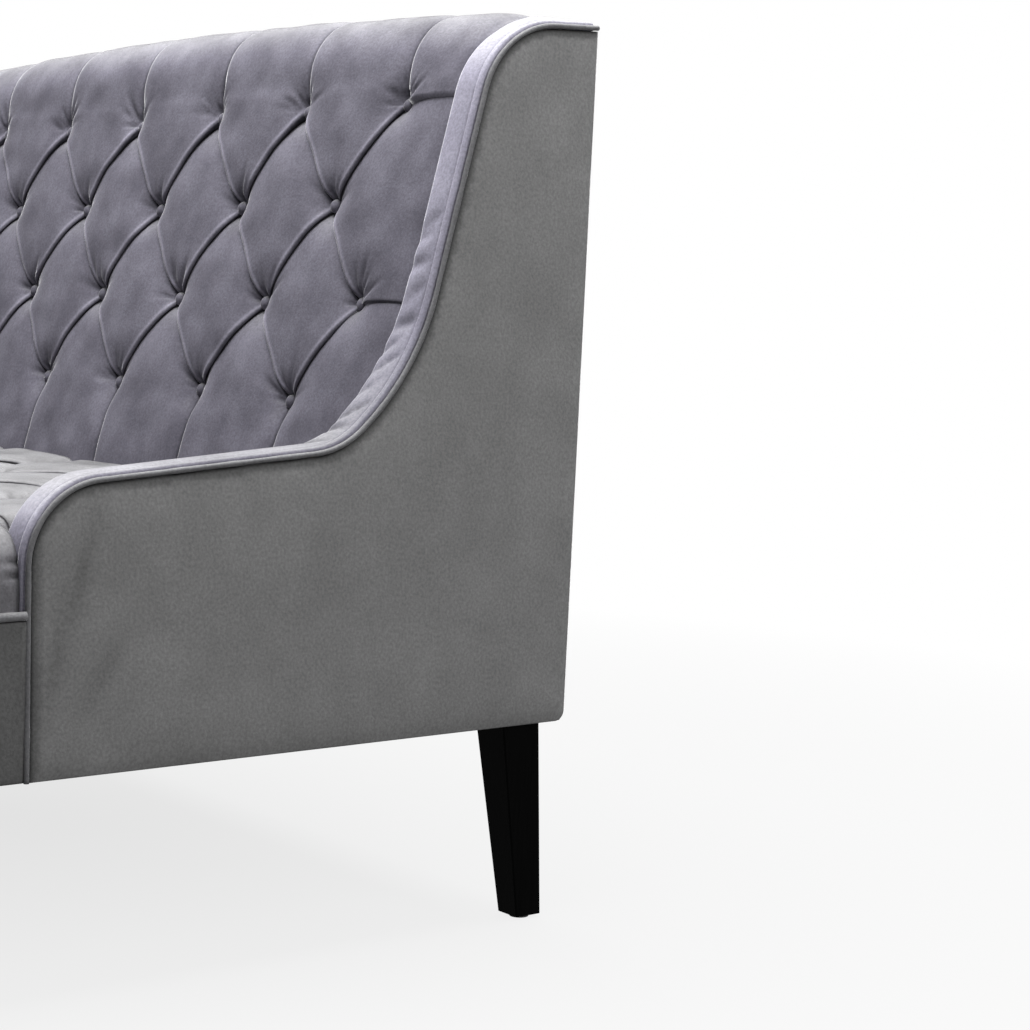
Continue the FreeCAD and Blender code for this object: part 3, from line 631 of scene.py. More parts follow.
def covered_button():
    """Points and faces of one button, its dome along Z, in millimetres."""
    bpy.ops.object.select_all(action="DESELECT")
    bpy.ops.mesh.primitive_uv_sphere_add(segments=24, ring_count=14, radius=BUTTON_RADIUS / 1000)
    blank = bpy.context.object
    points = np.array([v.co for v in blank.data.vertices]) * 1000 * (1.0, 1.0, BUTTON_DOME / BUTTON_RADIUS)
    faces = [list(p.vertices) for p in blank.data.polygons]
    bpy.data.objects.remove(blank)
    return points, faces


def set_buttons(name, node, places, depth, place, seed):
    """Covered buttons at their places, each with its dome along the way out of the pad."""
    blank, blank_faces = covered_button()
    points, faces = [], []
    x, v = np.array(places).T
    stray = hand_drift(x, v, seed)
    x, v = x + stray[0], v + stray[1]
    side = np.array([1.0, 0.0, 0.0])
    for seat, tip in zip(place(x, v, -depth * np.ones(len(x))), place(x, v, (1.0 - depth) * np.ones(len(x)))):
        axis = tip - seat
        turn = np.stack([side, np.cross(axis, side), axis])
        faces += [[i + len(points) * len(blank) for i in face] for face in blank_faces]
        points.append(seat + blank @ turn)
    cover(name, np.concatenate(points), faces, tufted_velvet, "velvet_buttons", node)


back_tufts = tuft_places(BACK_LOW_ROW, BACK_ROW_PITCH, BACK_ODD)
set_buttons("covered_back_buttons", "back_buttons", back_tufts, BACK_TUFT_DEPTH - BUTTON_LIFT, back_place,
            BACK_SEED)

# Seat pad: the same tufted velvet over foam, with ears that reach past the arms to the sides, a full roll
# down to the seat piping, and pleats that open forwards. Shaped as the back pad is.
SEAT_CREST = 482.0
SEAT_SEAM_Z = 392.0
ROLL_START, ROLL_REACH = 30.0, 131.0
ROLL_SQUARE = 2.2
CURVE_POINTS = 400
SEAT_REAR, SEAT_OVERRUN = 410.5, 40.0
SEAT_ROW_PITCH = 117.0
SEAT_FIRST_ROW = 9.5
SEAT_ODD, SEAT_SEED = 0, 11
SEAT_SIZES = (14.0, 6.0, 8.0)
SEAT_SEAM, EAR_SEAM, SEAM_BLEND = 22.0, 8.0, 16.0
SEAT_TUFT_DEPTH = 2 * (LAP + SAG) + SEAT_SIZES[0]
SEAT_UNDER = 388.6
ARM_INNER, EAR_BACK = 740.0, -0.8
EAR_START, EAR_REACH = 715.0, 82.0
EAR_SQUARE = 3.0
EAR_CORNER = 14.0
EAR_GATHERS = (66.0, 80.0)
# Painted light and shade on the seat: painted shade in the ear gathers, the creases and beside the arms,
# painted light over the whole seat, with the hems' painted highlight capped.
GATHER_DEPTH, GATHER_WIDE, GATHER_LONG, GATHER_SHADE = 3.0, 3.5, 20.0, 0.6
SEAT_PAINTED_LIGHT, SEAT_RIM = 1.2, 1.08
CREASE_SHADE = 1.3
EAR_SHADE, EAR_SHADE_IN = 6.0, 2.0
AT_SEAM, AT_FRONT = 0.1, 1.0
# A copy of the tufted velvet, greyer where the light falls on the seat: painted light.
seat_velvet = velvet("seat_velvet_painted_light_copy", "#69686c", "#555457", "#f2f2f3", 0.2)
seat_rise = SEAT_CREST - SEAT_SEAM_Z


def superellipse(reach, rise, power):
    """A quarter of a squared-off curve from its crest, level, to its foot, upright."""
    turn = np.linspace(0, np.pi / 2, CURVE_POINTS)
    return reach * np.sin(turn) ** (2 / power), rise * np.cos(turn).clip(0) ** (2 / power)


def run_length(x, y):
    """Length along a curve up to each of its points."""
    return np.concatenate([[0], np.cumsum(np.hypot(np.diff(x), np.diff(y)))])


roll_out, roll_up = superellipse(ROLL_REACH, seat_rise, ROLL_SQUARE)
roll_run = run_length(roll_out[::-1], roll_up[::-1])
roll_back = np.append(ROLL_START - roll_out[::-1], SEAT_REAR + SEAT_OVERRUN)
roll_z = np.append(SEAT_SEAM_Z + roll_up[::-1], SEAT_CREST)
roll_run = np.append(roll_run, roll_run[-1] + SEAT_REAR + SEAT_OVERRUN - ROLL_START)
ear_out, ear_up = superellipse(EAR_REACH, 1.0, EAR_SQUARE)
ear_run = EAR_START + run_length(ear_out, ear_up * seat_rise)


def seat_place(u, v, out):
    """Points of the seat in millimetres, from its front seam over the roll to the rear and over the ears."""
    def base(u, v):
        back, z = np.interp(v, roll_run, roll_back), np.interp(v, roll_run, roll_z)
        far = np.abs(u)
        x = np.where(far < EAR_START, far, EAR_START + np.interp(far, ear_run, ear_out))
        share = np.where(far < EAR_START, 1.0, np.interp(far, ear_run, ear_up))
        z = SEAT_SEAM_Z + (z - SEAT_SEAM_Z) * share
        front, side = ROLL_START - ROLL_REACH + EAR_CORNER, EAR_START + EAR_REACH - EAR_CORNER
        p, q = ((front - back) / EAR_CORNER).clip(0, 1), ((x - side) / EAR_CORNER).clip(0, 1)
        back = np.where(p > 0, front - EAR_CORNER * p * np.sqrt(1 - q * q / 2), back)
        x = np.where(q > 0, side + EAR_CORNER * q * np.sqrt(1 - p * p / 2), x)
        return points_at(np.sign(u) * x, back, z)

    step = 1.0
    across = base(u + step, v) - base(u - step, v)
    along = base(u, v + step) - base(u, v - step)
    return base(u, v) + unit(np.cross(across, along)) * np.asarray(out)[..., None]


def at_back(back):
    """Run along the seat where it is that far back."""
    return float(np.interp(back, roll_back, roll_run))


ear_end = float(ear_run[-1])
arm_u = float(np.interp(ARM_INNER - EAR_START, ear_out, ear_run))
seat_u = steps([-ear_end, -arm_u, -last_u, last_u, arm_u, ear_end], HALF_PITCH / CELLS)
first_row = at_back(SEAT_FIRST_ROW)
arm_v = at_back(EAR_BACK)
last_row = first_row + LAST_ROW * SEAT_ROW_PITCH
seat_v = steps([0.0, arm_v, first_row, last_row, at_back(SEAT_REAR)], SEAT_ROW_PITCH / CELLS)
grid_u, grid_v = np.meshgrid(seat_u, seat_v, indexing="ij")
blend = eased((arm_u + SEAM_BLEND / 2 - np.abs(grid_u)) / SEAM_BLEND)
seam = (np.hypot((arm_u - np.abs(grid_u)).clip(0), (arm_v - grid_v).clip(0)),
        EAR_SEAM + (SEAT_SEAM - EAR_SEAM) * blend)
across, along, out, crease, painted_light = tufted(
    seat_u, seat_v, first_row, SEAT_ROW_PITCH, SEAT_ODD, SEAT_SIZES, seam, SEAT_SEED)
for place in EAR_GATHERS:
    aside, ahead = (np.abs(grid_u) - arm_u - place) / GATHER_WIDE, (arm_v - grid_v) / GATHER_LONG
    fold_and_shade = bell(np.hypot(aside, ahead), 1)
    out -= np.where(grid_v < arm_v, GATHER_DEPTH * fold_and_shade, 0.0)
    # Painted shade in each gather.
    painted_light *= 1 - GATHER_SHADE * fold_and_shade
# Painted shade where the seat runs under the arm, and the creases' painted shade deepened.
arm_shade = bell(arm_v - grid_v, EAR_SHADE) * (np.abs(grid_u) > arm_u - EAR_SHADE_IN)
painted_light = (1 - CREASE_SHADE * (1 - painted_light)) * (1 - arm_shade)
steady = (seam[0] < AT_SEAM) | (grid_v < AT_FRONT)
across, along = np.where(steady, grid_u, across), np.where(steady, grid_v, along)
points = seat_place(across, along, out).reshape(-1, 3)
middle_u = np.abs(grid_u[:-1, :-1] + grid_u[1:, 1:]) / 2
middle_v = (grid_v[:-1, :-1] + grid_v[1:, 1:]) / 2
faces = sheet_faces(crease, (middle_u < arm_u) | (middle_v < arm_v))
used, numbers = np.unique(faces, return_inverse=True)
seat_pad = mesh_piece("tufted_seat", points[used], numbers.reshape(-1, 3).tolist(), seat_velvet)
# The seat's colour is lightened throughout, a painted highlight.
set_painted_light(seat_pad, SEAT_PAINTED_LIGHT * np.minimum(painted_light, SEAT_RIM).ravel()[used])


def close_under(piece, z_mm):
    """Draws the open edge of a sheet straight down to a level and closes it there."""
    picked(piece)
    bpy.ops.object.mode_set(mode="EDIT")
    bpy.ops.mesh.select_mode(type="EDGE")
    bpy.ops.mesh.select_all(action="DESELECT")
    bpy.ops.mesh.select_non_manifold(extend=False, use_wire=False, use_multi_face=False, use_verts=False)
    bpy.ops.mesh.extrude_edges_move()
    bpy.ops.transform.resize(value=(1, 1, 0), center_override=(0, 0, z_mm / 1000))
    bpy.ops.mesh.edge_face_add()
    bpy.ops.object.mode_set(mode="OBJECT")
    facing_out(piece)


close_under(seat_pad, SEAT_UNDER)
stand_for(seat_pad, "velvet_tufted", "seat_pad")

# Seat buttons: velvet-covered blanks as on the back, one in each tuft of the seat, their cords tied off
# under the webbing.
seat_tufts = tuft_places(first_row, SEAT_ROW_PITCH, SEAT_ODD)
set_buttons("covered_seat_buttons", "seat_buttons", seat_tufts, SEAT_TUFT_DEPTH - BUTTON_LIFT, seat_place,
            SEAT_SEED)

# Arm bands: strips of velvet that run up the arm's front, along its top and up the sweep, over a thin
# padding. They are sewn down by a row of stitches beside the piping and pucker where the sweep is hollow.
FRAME_LOW = 228.0
BAND_LOW, BAND_REAR = 388.0, 683.0
ARM_FRONT = -3.3
ARM_TOP_REAR = 1012.3
REAR_LOW, REAR_LEAN = 670.0, 18.0
ARM_BENDS = [(ARM_FRONT, 518.3, 88.7), (356.9, 547.9, 92.4), (447.4, 630.8, 281.3), (547.2, 1005.2, 108.3)]
HEM_CURVE, LEAST_PARTS = 12.0, 4


def rear_line(z):
    """How far back the rear of the sofa is at a height."""
    return REAR_LOW + REAR_LEAN * (z - FRAME_LOW) / (ARM_TOP_REAR - FRAME_LOW)


ARM_CORNERS = [(ARM_FRONT, FRAME_LOW, 0.0)] + ARM_BENDS
ARM_CORNERS += [(rear_line(ARM_TOP_REAR), ARM_TOP_REAR, 0.0), (REAR_LOW, FRAME_LOW, HEM_CURVE)]


def inset(corners, gaps):
    """Corners of a closed outline moved inwards, each edge by its own gap; edges run clockwise."""
    spots, gaps = np.array(corners)[:, :2], np.array(gaps)
    ways = unit(np.roll(spots, -1, 0) - spots)
    starts = spots + gaps[:, None] * rightwards(ways)
    moved = []
    for n, (_, _, curve) in enumerate(corners):
        u, v, across = ways[n - 1], ways[n], starts[n] - starts[n - 1]
        turn = u[0] * v[1] - u[1] * v[0]
        spot = starts[n - 1] + u * (across[0] * v[1] - across[1] * v[0]) / turn
        moved.append((*spot, max(curve + np.sign(turn) * gaps[n], 0.0) if curve else 0.0))
    return moved


def arm_inset(gap, rear, low):
    """Corners of the arm's outline moved in from its front and top, from its rear and from below."""
    return inset(ARM_CORNERS, [gap] * (len(ARM_CORNERS) - 2) + [rear, low])


def outline(corners, step, closed=False):
    """Points along an outline of straight edges with rounded corners, in steps of about one length."""
    count = len(corners)
    ends = []
    for n, (x, y, curve) in enumerate(corners):
        if curve == 0.0 or (not closed and n in (0, count - 1)):
            ends.append(np.array([[x, y]]))
            continue
        before, after = np.array(corners[n - 1][:2]), np.array(corners[(n + 1) % count][:2])
        here = np.array([x, y])
        u = (before - here) / np.linalg.norm(before - here)
        v = (after - here) / np.linalg.norm(after - here)
        half = math.acos(np.clip(u @ v, -1, 1)) / 2
        hub = here + (u + v) / np.linalg.norm(u + v) * curve / math.sin(half)
        first, last = here + u * curve / math.tan(half) - hub, here + v * curve / math.tan(half) - hub
        sweep_angle = math.pi - 2 * half
        parts = max(LEAST_PARTS, math.ceil(curve * sweep_angle / step))
        turn = math.copysign(sweep_angle, first[0] * last[1] - first[1] * last[0])
        angles = math.atan2(first[1], first[0]) + turn * np.linspace(0, 1, parts + 1)
        ends.append(hub + curve * np.stack([np.cos(angles), np.sin(angles)], -1))
    points = []
    for n in range(count):
        points.append(ends[n])
        if n + 1 < count or closed:
            start, stop = ends[n][-1], ends[(n + 1) % count][0]
            parts = max(1, round(np.linalg.norm(stop - start) / step))
            points.append(start + (stop - start) * (np.arange(1, parts) / parts)[:, None])
    return np.concatenate(points)


def outward(path):
    """Unit normals on the left of a path, which is outside a clockwise outline."""
    return -rightwards(unit(np.gradient(path, axis=0)))


def pair(name, points, faces, made, slot, node, painted_light=1.0):
    """The right-hand piece and its mirror image on the left."""
    for side, way in (("right_", 1), ("left_", -1)):
        cover(side + name, np.asarray(points) * (way, 1, 1), faces, made, slot, side + node, painted_light)


BAND_SECTION = [(748.5, -26.0), (747.4, -15.0), (746.2, -11.5), (745.8, -8.8), (746.4, -6.6), (747.6, -5.6),
                (748.2, -3.6), (749.8, -1.4), (753.0, 0.0), (759.0, 1.1), (767.0, 1.5), (774.0, 1.1),
                (779.6, 0.3), (781.2, -0.3), (782.2, -1.3), (783.2, -0.3), (785.0, 0.2), (788.4, 0.0),
                (790.6, -1.0), (791.2, -4.0), (791.0, -9.0), (780.0, -9.2), (764.0, -9.2), (756.0, -10.0),
                (754.0, -14.0), (753.5, -26.0)]
BAND_INNER, BAND_MIDDLE, BAND_STITCH = 748.0, 770.0, 782.0
BAND_TOP = -7.0
BAND_STEP = 3.0
SWELL, SWELL_PLACE, SWELL_RUN, SWELL_EDGE = 4.5, (625.0, 1008.0), 45.0, 12.0
HOLLOW = [(345.0, 550.0), (490.0, 790.0)]
LEAN_EDGE = 20.0
LEANS = [0.0, 4.0, 8.0, 3.0, 3.0]
LEAN_PLACES = [(20.0, 500.0), HOLLOW[0], (445.0, 640.0), HOLLOW[1]]
# Painted light along the band: lighter at the arm's front and up the wing, darker low in the sweep, as the
# light falls.
BAND_PAINTED_LIGHT = [1.4, 2.0, 0.8, 0.42, 0.3, 1.45, 1.7, 0.85, 0.75]
BAND_LIGHT_PLACES = [(12.0, 485.0), (55.0, 518.0), (150.0, 530.0), *HOLLOW, (535.0, 950.0), (600.0, 1005.0)]
CRIMPS, CRIMP_STRAY, CRIMP_SEED = 11, 8.0, 3
CRIMP_WIDE, CRIMP_SLANT = (12.0, 22.0), (0.1, 0.9)
CRIMP_LONG, CRIMP_DEEP = (5.0, 9.0), (1.6, 3.6)
CRIMP_EDGE = 8.0
CRIMP_SHADE, CRIMP_FLAT = 0.28, 0.6
# A paler copy of the same velvet, a painted highlight of the light from above.
band_velvet = velvet("band_velvet_painted_light_copy", "#82808c", "#73717d", "#cacacc")
band_path = outline([(ARM_FRONT, BAND_LOW, 0.0)] + ARM_BENDS + [(BAND_REAR, ARM_TOP_REAR, 0.0)], BAND_STEP)
band_normals = outward(band_path)
band_run = run_length(*band_path.T)


def runs_near(places):
    """Runs along the band where it passes nearest those places."""
    return [band_run[np.argmin(np.hypot(*(band_path - place).T))] for place in places]


section = np.array(BAND_SECTION)
lift = np.repeat(section[None, :, 1], len(band_path), 0)
across = np.repeat(section[None, :, 0], len(band_path), 0)
lean = np.interp(band_run, runs_near(LEAN_PLACES) + [band_run[-1]], LEANS)
across -= lean[:, None] * np.clip((BAND_MIDDLE - section[:, 0]) / LEAN_EDGE, 0, 1)
from_inner, from_stitch = across - BAND_INNER, BAND_STITCH - across
over = eased(np.clip(from_inner / SWELL_EDGE, 0, 1) * np.clip(from_stitch / SWELL_EDGE, 0, 1))
on_top = lift > BAND_TOP
swell = SWELL * bell(band_run[:, None] - runs_near([SWELL_PLACE]), SWELL_RUN)
lift += np.where(on_top, over * swell, 0)
dice = np.random.default_rng(CRIMP_SEED)
# The band's colour carries painted light along its run and painted shade in each dent, lighter on one side of
# it.
nap = np.interp(band_run, [0.0] + runs_near(BAND_LIGHT_PLACES) + [band_run[-1]], BAND_PAINTED_LIGHT)
nap = nap[:, None] * np.ones(across.shape)
for place in np.linspace(*runs_near(HOLLOW), CRIMPS):
    place += dice.uniform(-CRIMP_STRAY, CRIMP_STRAY)
    centre, wide = dice.uniform(BAND_INNER, BAND_MIDDLE), dice.uniform(*CRIMP_WIDE)
    slant = dice.uniform(*CRIMP_SLANT)
    long, deep = dice.uniform(*CRIMP_LONG), dice.uniform(*CRIMP_DEEP)
    aside = (band_run[:, None] - place - slant * (across - centre)) / long
    dent = deep * bell(aside, 1) * bell(across - centre, wide) * np.clip(from_stitch / CRIMP_EDGE, 0, 1)
    lift -= np.where(on_top, dent, 0)
    nap -= CRIMP_SHADE * dent * (CRIMP_FLAT + aside)
spots = band_path[:, None, :] + band_normals[:, None, :] * lift[..., None]
points = points_at(across, spots[..., 0], spots[..., 1]).reshape(-1, 3)
pair("arm_boxing", points, tube_faces(len(band_path), len(section)), band_velvet, "velvet_band", "arm_band",
     nap.ravel())

# Arm piping: a cord covered with a bias strip of the velvet, sewn between the band and the side cover.
# The strip rides up and down a little on its cord.
ARM_CORD, ARM_CORD_IN, ARM_CORD_SEED = 2.8, 6.0, 21
ARM_END_GAPS = 0.5, 0.3
PIPING_X = 794.8
PIPING_STEP = 4.0
PIPING_SIDES = 14
CORD_UNEVEN, CORD_SMOOTH = 0.25, 5
# A darker copy of the same velvet: painted shade.
piping_velvet_painted_shade_copy = velvet("piping_velvet_painted_shade_copy", "#6c6c6e", "#626264", "#b4b4b6")


def covered_cord(path, radius, seed):
    """Points and faces of piping along a path in millimetres, a little uneven."""
    ahead = unit(np.gradient(path, axis=0))
    steady = np.array([1.0, 0.0, 0.0]) if abs(ahead[:, 0]).max() < 0.5 else np.array([0.0, 0.0, 1.0])
    side = unit(np.cross(ahead, steady))
    other = np.cross(side, ahead)
    dice = np.random.default_rng(seed)
    rough = dice.normal(0, CORD_UNEVEN, len(path) + 2 * CORD_SMOOTH)
    uneven = np.convolve(rough, np.ones(CORD_SMOOTH) / CORD_SMOOTH, "same")[CORD_SMOOTH:-CORD_SMOOTH]
    angles = np.linspace(0, 2 * np.pi, PIPING_SIDES, endpoint=False)[None, :, None]
    ring = np.cos(angles) * side[:, None, :] + np.sin(angles) * other[:, None, :]
    points = path[:, None, :] + ring * (radius + uneven)[:, None, None]
    return points.reshape(-1, 3), tube_faces(len(path), PIPING_SIDES)


arm_line = outline(arm_inset(ARM_CORD_IN, *ARM_END_GAPS)[:-1], PIPING_STEP)
arm_cord = covered_cord(points_at(PIPING_X, *arm_line.T), ARM_CORD, ARM_CORD_SEED)
pair("arm_piping", *arm_cord, piping_velvet_painted_shade_copy, "velvet_piping", "arm_welt")

# Side covers: one flat piece of velvet over each arm panel and side rail, drawn tight, turned under the frame
# and closed along the rear edge. It dips a little to its seams and falls in soft folds at the front.
SIDE_FACE = 797.0
SIDE_SEAT = 792.0
SIDE_GAP = 9.3
SIDE_EDGE, SIDE_EDGE_RUN, SIDE_EDGE_POWER = 3.0, 4.0, 1.4
SIDE_CROWN, SIDE_CROWN_RUN = 2.2, 24.0
SIDE_SLACK = 8, 0.5, 90.0, 260.0
SIDE_LEAST, SIDE_SPARE, SIDE_BACKING = 0.3, 1.0, 0.1
GROOVE_RUN, GROOVE_DARK = 5.5, 0.3
REAR_SWELL = 1.5
SIDE_FOLDS = [(62.0, 420.0, 0.22, 12.0, 55.0, 2.4), (34.0, 345.0, 0.1, 10.0, 60.0, 1.8),
              (90.0, 330.0, 0.5, 16.0, 40.0, 1.2)]
FOLD_SHADE = 0.15
PANEL_STEP = 7.0
EDGE_ROWS = (1.6, 4.0)
SPARE_ROOM, ROW_ROOM, SAME_PLACE = 0.45, 0.8, 1e-4
EDGE_STEP = 4.0
# A neutral grey copy of the same velvet, set for the light that falls on the sides: painted light.
side_velvet = velvet("side_velvet_painted_light_copy", "#7d7d7d", "#747474", "#c8c8c8", 0.3)


def edge_distance(points, edge, closed=True):
    """Distance of each point from an outline."""
    nearest = np.full(len(points), FAR_OFF)
    for p, q in zip(edge, np.roll(edge, -1, 0)) if closed else zip(edge, edge[1:]):
        along = q - p
        share = np.clip((points - p) @ along / max(along @ along, TINY), 0, 1)
        nearest = np.minimum(nearest, np.linalg.norm(points - p - share[:, None] * along, axis=1))
    return nearest


def filled(corners, coarse=1):
    """Points and triangles that fill a closed clockwise outline evenly, with close rows along its edge,
    and the count of the points on the edge, which come first, and each point's distance from it."""
    edge, step = outline(corners, EDGE_STEP * coarse, True), PANEL_STEP * coarse
    low, high = edge.min(0), edge.max(0)
    x, y = np.meshgrid(np.arange(low[0], high[0], step), np.arange(low[1], high[1], step), indexing="ij")
    spare = np.stack([x.ravel(), y.ravel()], -1)
    spare = spare[edge_distance(spare, edge) > EDGE_ROWS[-1] + step * SPARE_ROOM]
    inwards = rightwards(unit(np.roll(edge, -1, 0) - np.roll(edge, 1, 0)))
    for depth in EDGE_ROWS:
        row = edge + depth * inwards
        spare = np.concatenate([spare, row[edge_distance(row, edge) > depth * ROW_ROOM]])
    points = [Vector(p) for p in np.concatenate([edge, spare]).tolist()]
    loop = [(n, (n + 1) % len(edge)) for n in range(len(edge))]
    placed, _, faces, *_ = delaunay_2d_cdt(points, loop, [], 1, SAME_PLACE)
    places = np.array([tuple(p) for p in placed])
    return places, [list(f) for f in faces], len(edge), edge_distance(places, edge)


def two_sided(outer, inner, faces, rim):
    """A closed panel from two sides with the same faces, joined round a rim of that many points."""
    shift, around = len(outer), np.append(np.arange(rim), 0)
    lining = [[i + shift for i in reversed(f)] for f in faces]
    return np.concatenate([outer, inner]), faces + lining + ribbon(around, around + shift)


side_corners = arm_inset(SIDE_GAP, -REAR_SWELL, 0.0)
panel, faces, rim, inward = filled(side_corners)
rise = SIDE_EDGE * (1 - bell(inward, SIDE_EDGE_RUN, SIDE_EDGE_POWER))
rise += SIDE_CROWN * (1 - bell(inward, SIDE_CROWN_RUN)) + unevenness(panel, *SIDE_SLACK)
rise = np.clip(rise, SIDE_LEAST, SIDE_FACE - SIDE_SEAT + SIDE_SPARE)
beside = edge_distance(panel, outline(side_corners[:-1], EDGE_STEP), False)
# Painted shade in the groove beside the piping and on the dark side of each fold.
groove_shade = np.clip(beside / GROOVE_RUN - GROOVE_DARK, -GROOVE_DARK, 1)
for back, z, tilt, wide, long, deep in SIDE_FOLDS:
    aside = (panel[:, 0] - back - tilt * (panel[:, 1] - z)) / wide
    fold_and_shade = deep * bell(aside, 1) * bell(panel[:, 1] - z, long)
    rise -= fold_and_shade
    groove_shade -= FOLD_SHADE * fold_and_shade * (1 - aside)
sheets = points_at(SIDE_SEAT + rise, *panel.T), points_at(SIDE_SEAT + SIDE_BACKING, *panel.T)
pair("outer_side", *two_sided(*sheets, faces, rim), side_velvet, "velvet_side", "side_cover", groove_shade)

# Inner arm pads: velvet over wadding on the inside of each arm panel, stapled under the band and tucked down
# behind the seat and the back.
ARM_PAD_LOW, ARM_PAD_FOOT, ARM_PAD_HEAD = 388.3, 25.0, 88.0
ARM_PAD_THICK, ARM_PAD_EDGE, ARM_PAD_BACKING, ARM_PAD_SPARE = 34.0, 6.0, 0.2, 0.5
ARM_PAD_RUN, ARM_PAD_POWER = 7.0, 1.2
ARM_PAD_SLACK = 9, 0.6, 70.0, 180.0
PAD_SEAM = 9.5
# Painted shade: the inner pads' colour is darkened throughout.
ARM_PAD_PAINTED_SHADE = 0.35
pad_top = arm_inset(PAD_SEAM, 0.0, 0.0)
pad_low = (pad_top[0][0], ARM_PAD_LOW, 0.0)
face_low = (FACE_FOOT[0] + ARM_PAD_FOOT, ARM_PAD_LOW, 0.0)
face_high = (pad_top[-3][0] + ARM_PAD_HEAD, pad_top[-3][1], 0.0)
panel, faces, rim, inward = filled([pad_low] + pad_top[1:-2] + [face_high, face_low])
swell = (ARM_PAD_THICK - ARM_PAD_EDGE) * (1 - bell(inward, ARM_PAD_RUN, ARM_PAD_POWER))
rise = ARM_PAD_EDGE + swell + unevenness(panel, *ARM_PAD_SLACK)
arm_base = ARM_INNER + ARM_PAD_THICK
rise = np.clip(rise, 0, ARM_PAD_THICK + ARM_PAD_SPARE)
sheets = points_at(arm_base - rise, *panel.T), points_at(arm_base - ARM_PAD_BACKING, *panel.T)
pair("inner_arm", *two_sided(*sheets, faces, rim), band_velvet, "velvet_band", "arm_pad", ARM_PAD_PAINTED_SHADE)

# Outer back: one panel of velvet from the top roll down to the rear rail, tacked at the top and sides and
# turned under at the bottom.
BACK_PANEL_X, BACK_PANEL_TOP = 792.0, 1003.0
BACK_PANEL_CORNER = 3.0
BACK_PANEL_THICK, BACK_PANEL_LEAST, BACK_PANEL_PROUD = 5.0, 0.4, 0.3
BACK_PANEL_RUN, BACK_PANEL_POWER = 5.0, 1.3
BACK_PANEL_SLACK = 10, 0.5, 120.0, 320.0
back_spots = [(-BACK_PANEL_X, FRAME_LOW), (-BACK_PANEL_X, BACK_PANEL_TOP),
              (BACK_PANEL_X, BACK_PANEL_TOP), (BACK_PANEL_X, FRAME_LOW)]
panel, faces, rim, inward = filled([(x, z, BACK_PANEL_CORNER) for x, z in back_spots], 2)
sink = BACK_PANEL_THICK * bell(inward, BACK_PANEL_RUN, BACK_PANEL_POWER)
sink -= unevenness(panel, *BACK_PANEL_SLACK)
sink = np.clip(sink, -BACK_PANEL_PROUD, BACK_PANEL_THICK - BACK_PANEL_LEAST)
x, z = panel.T
rear = rear_line(z) + REAR_SWELL
sheets = points_at(x, rear - sink, z), points_at(x, rear - BACK_PANEL_THICK - REAR_SWELL, z)
cover("rear_panel", *two_sided(*sheets, faces, rim), side_velvet, "velvet_side", "outer_back")


# Front border: a band of velvet over the front rail and the ear boards, wrapped round both front corners,
# tacked along the top and turned under at the bottom.
def front_plan(x, front, corner, step):
    """Places across and back of a line round the seat's front, from arm to arm."""
    half = [(x, BORDER_REAR, 0.0), (x, front, corner)]
    return outline(half + [(-x, y, curve) for x, y, curve in reversed(half)], step)


BORDER_FRONT, BORDER_SPARE = -100.0, 0.5
BORDER_REAR = ARM_FRONT + ARM_CORD_IN - ARM_CORD + BORDER_SPARE
BORDER_TOP = 386.5
BORDER_CORNER = 14.0
BORDER_STEP, BORDER_ROWS = 5.0, 30
BORDER_LEAN = 3.0
BORDER_HEAD = [(3.4, 0.0), (1.5, 1.5), (0.4, 4.5)]
BORDER_FOOT = [(3.4, 2.6), (4.4, 0.9), (6.0, 0.1), (12.0, 0.0), (12.0, 1.4), (5.6, 1.6), (4.6, 4.0)]
BORDER_INSIDE = [(2.1, 8.0), (4.9, 0.0)]
BORDER_MARGINS = 8.0, 5.0
BORDER_SLACK, BORDER_MOST = (12, 0.5, 80.0, 240.0), 0.8
BORDER_LOOSE = (240.0, 375.0)
# Painted shade: the border's colour is darkened throughout, as it faces away from the light.
BORDER_PAINTED_SHADE = 0.42
border_plan = front_plan(SIDE_FACE, BORDER_FRONT, BORDER_CORNER, BORDER_STEP)
plan_normals = -outward(border_plan)
face_top, face_low = BORDER_TOP - BORDER_MARGINS[0], FRAME_LOW + BORDER_MARGINS[1]
section = [(deep, BORDER_TOP - down) for deep, down in BORDER_HEAD]
section += [(BORDER_LEAN * n, face_top + (face_low - face_top) * n) for n in np.linspace(0, 1, BORDER_ROWS)]
section += [(deep, FRAME_LOW + up) for deep, up in BORDER_FOOT]
section += [(deep, BORDER_TOP - down) for deep, down in BORDER_INSIDE]
deep, level = np.array(section).T
run = run_length(*border_plan.T)
spread = np.stack(np.meshgrid(run, level, indexing="ij"), -1)
loose = (level > BORDER_LOOSE[0]) & (level < BORDER_LOOSE[1])
waves = np.clip(unevenness(spread, *BORDER_SLACK) * loose, -BORDER_MOST, BORDER_MOST)
spots = border_plan[:, None, :] + plan_normals[:, None, :] * (deep + waves)[..., None]
points = points_at(spots[..., 0], spots[..., 1], level).reshape(-1, 3)
cover("seat_border", points, tube_faces(len(run), len(level)), side_velvet, "velvet_side", "front_border",
      BORDER_PAINTED_SHADE)

# Seat piping: a cord covered with a bias strip of velvet, as on the arms but thicker, sewn between the
# border and the seat pad.
SEAT_CORD, SEAT_CORD_CORNER, SEAT_CORD_SEED = 4.3, 12.0, 22
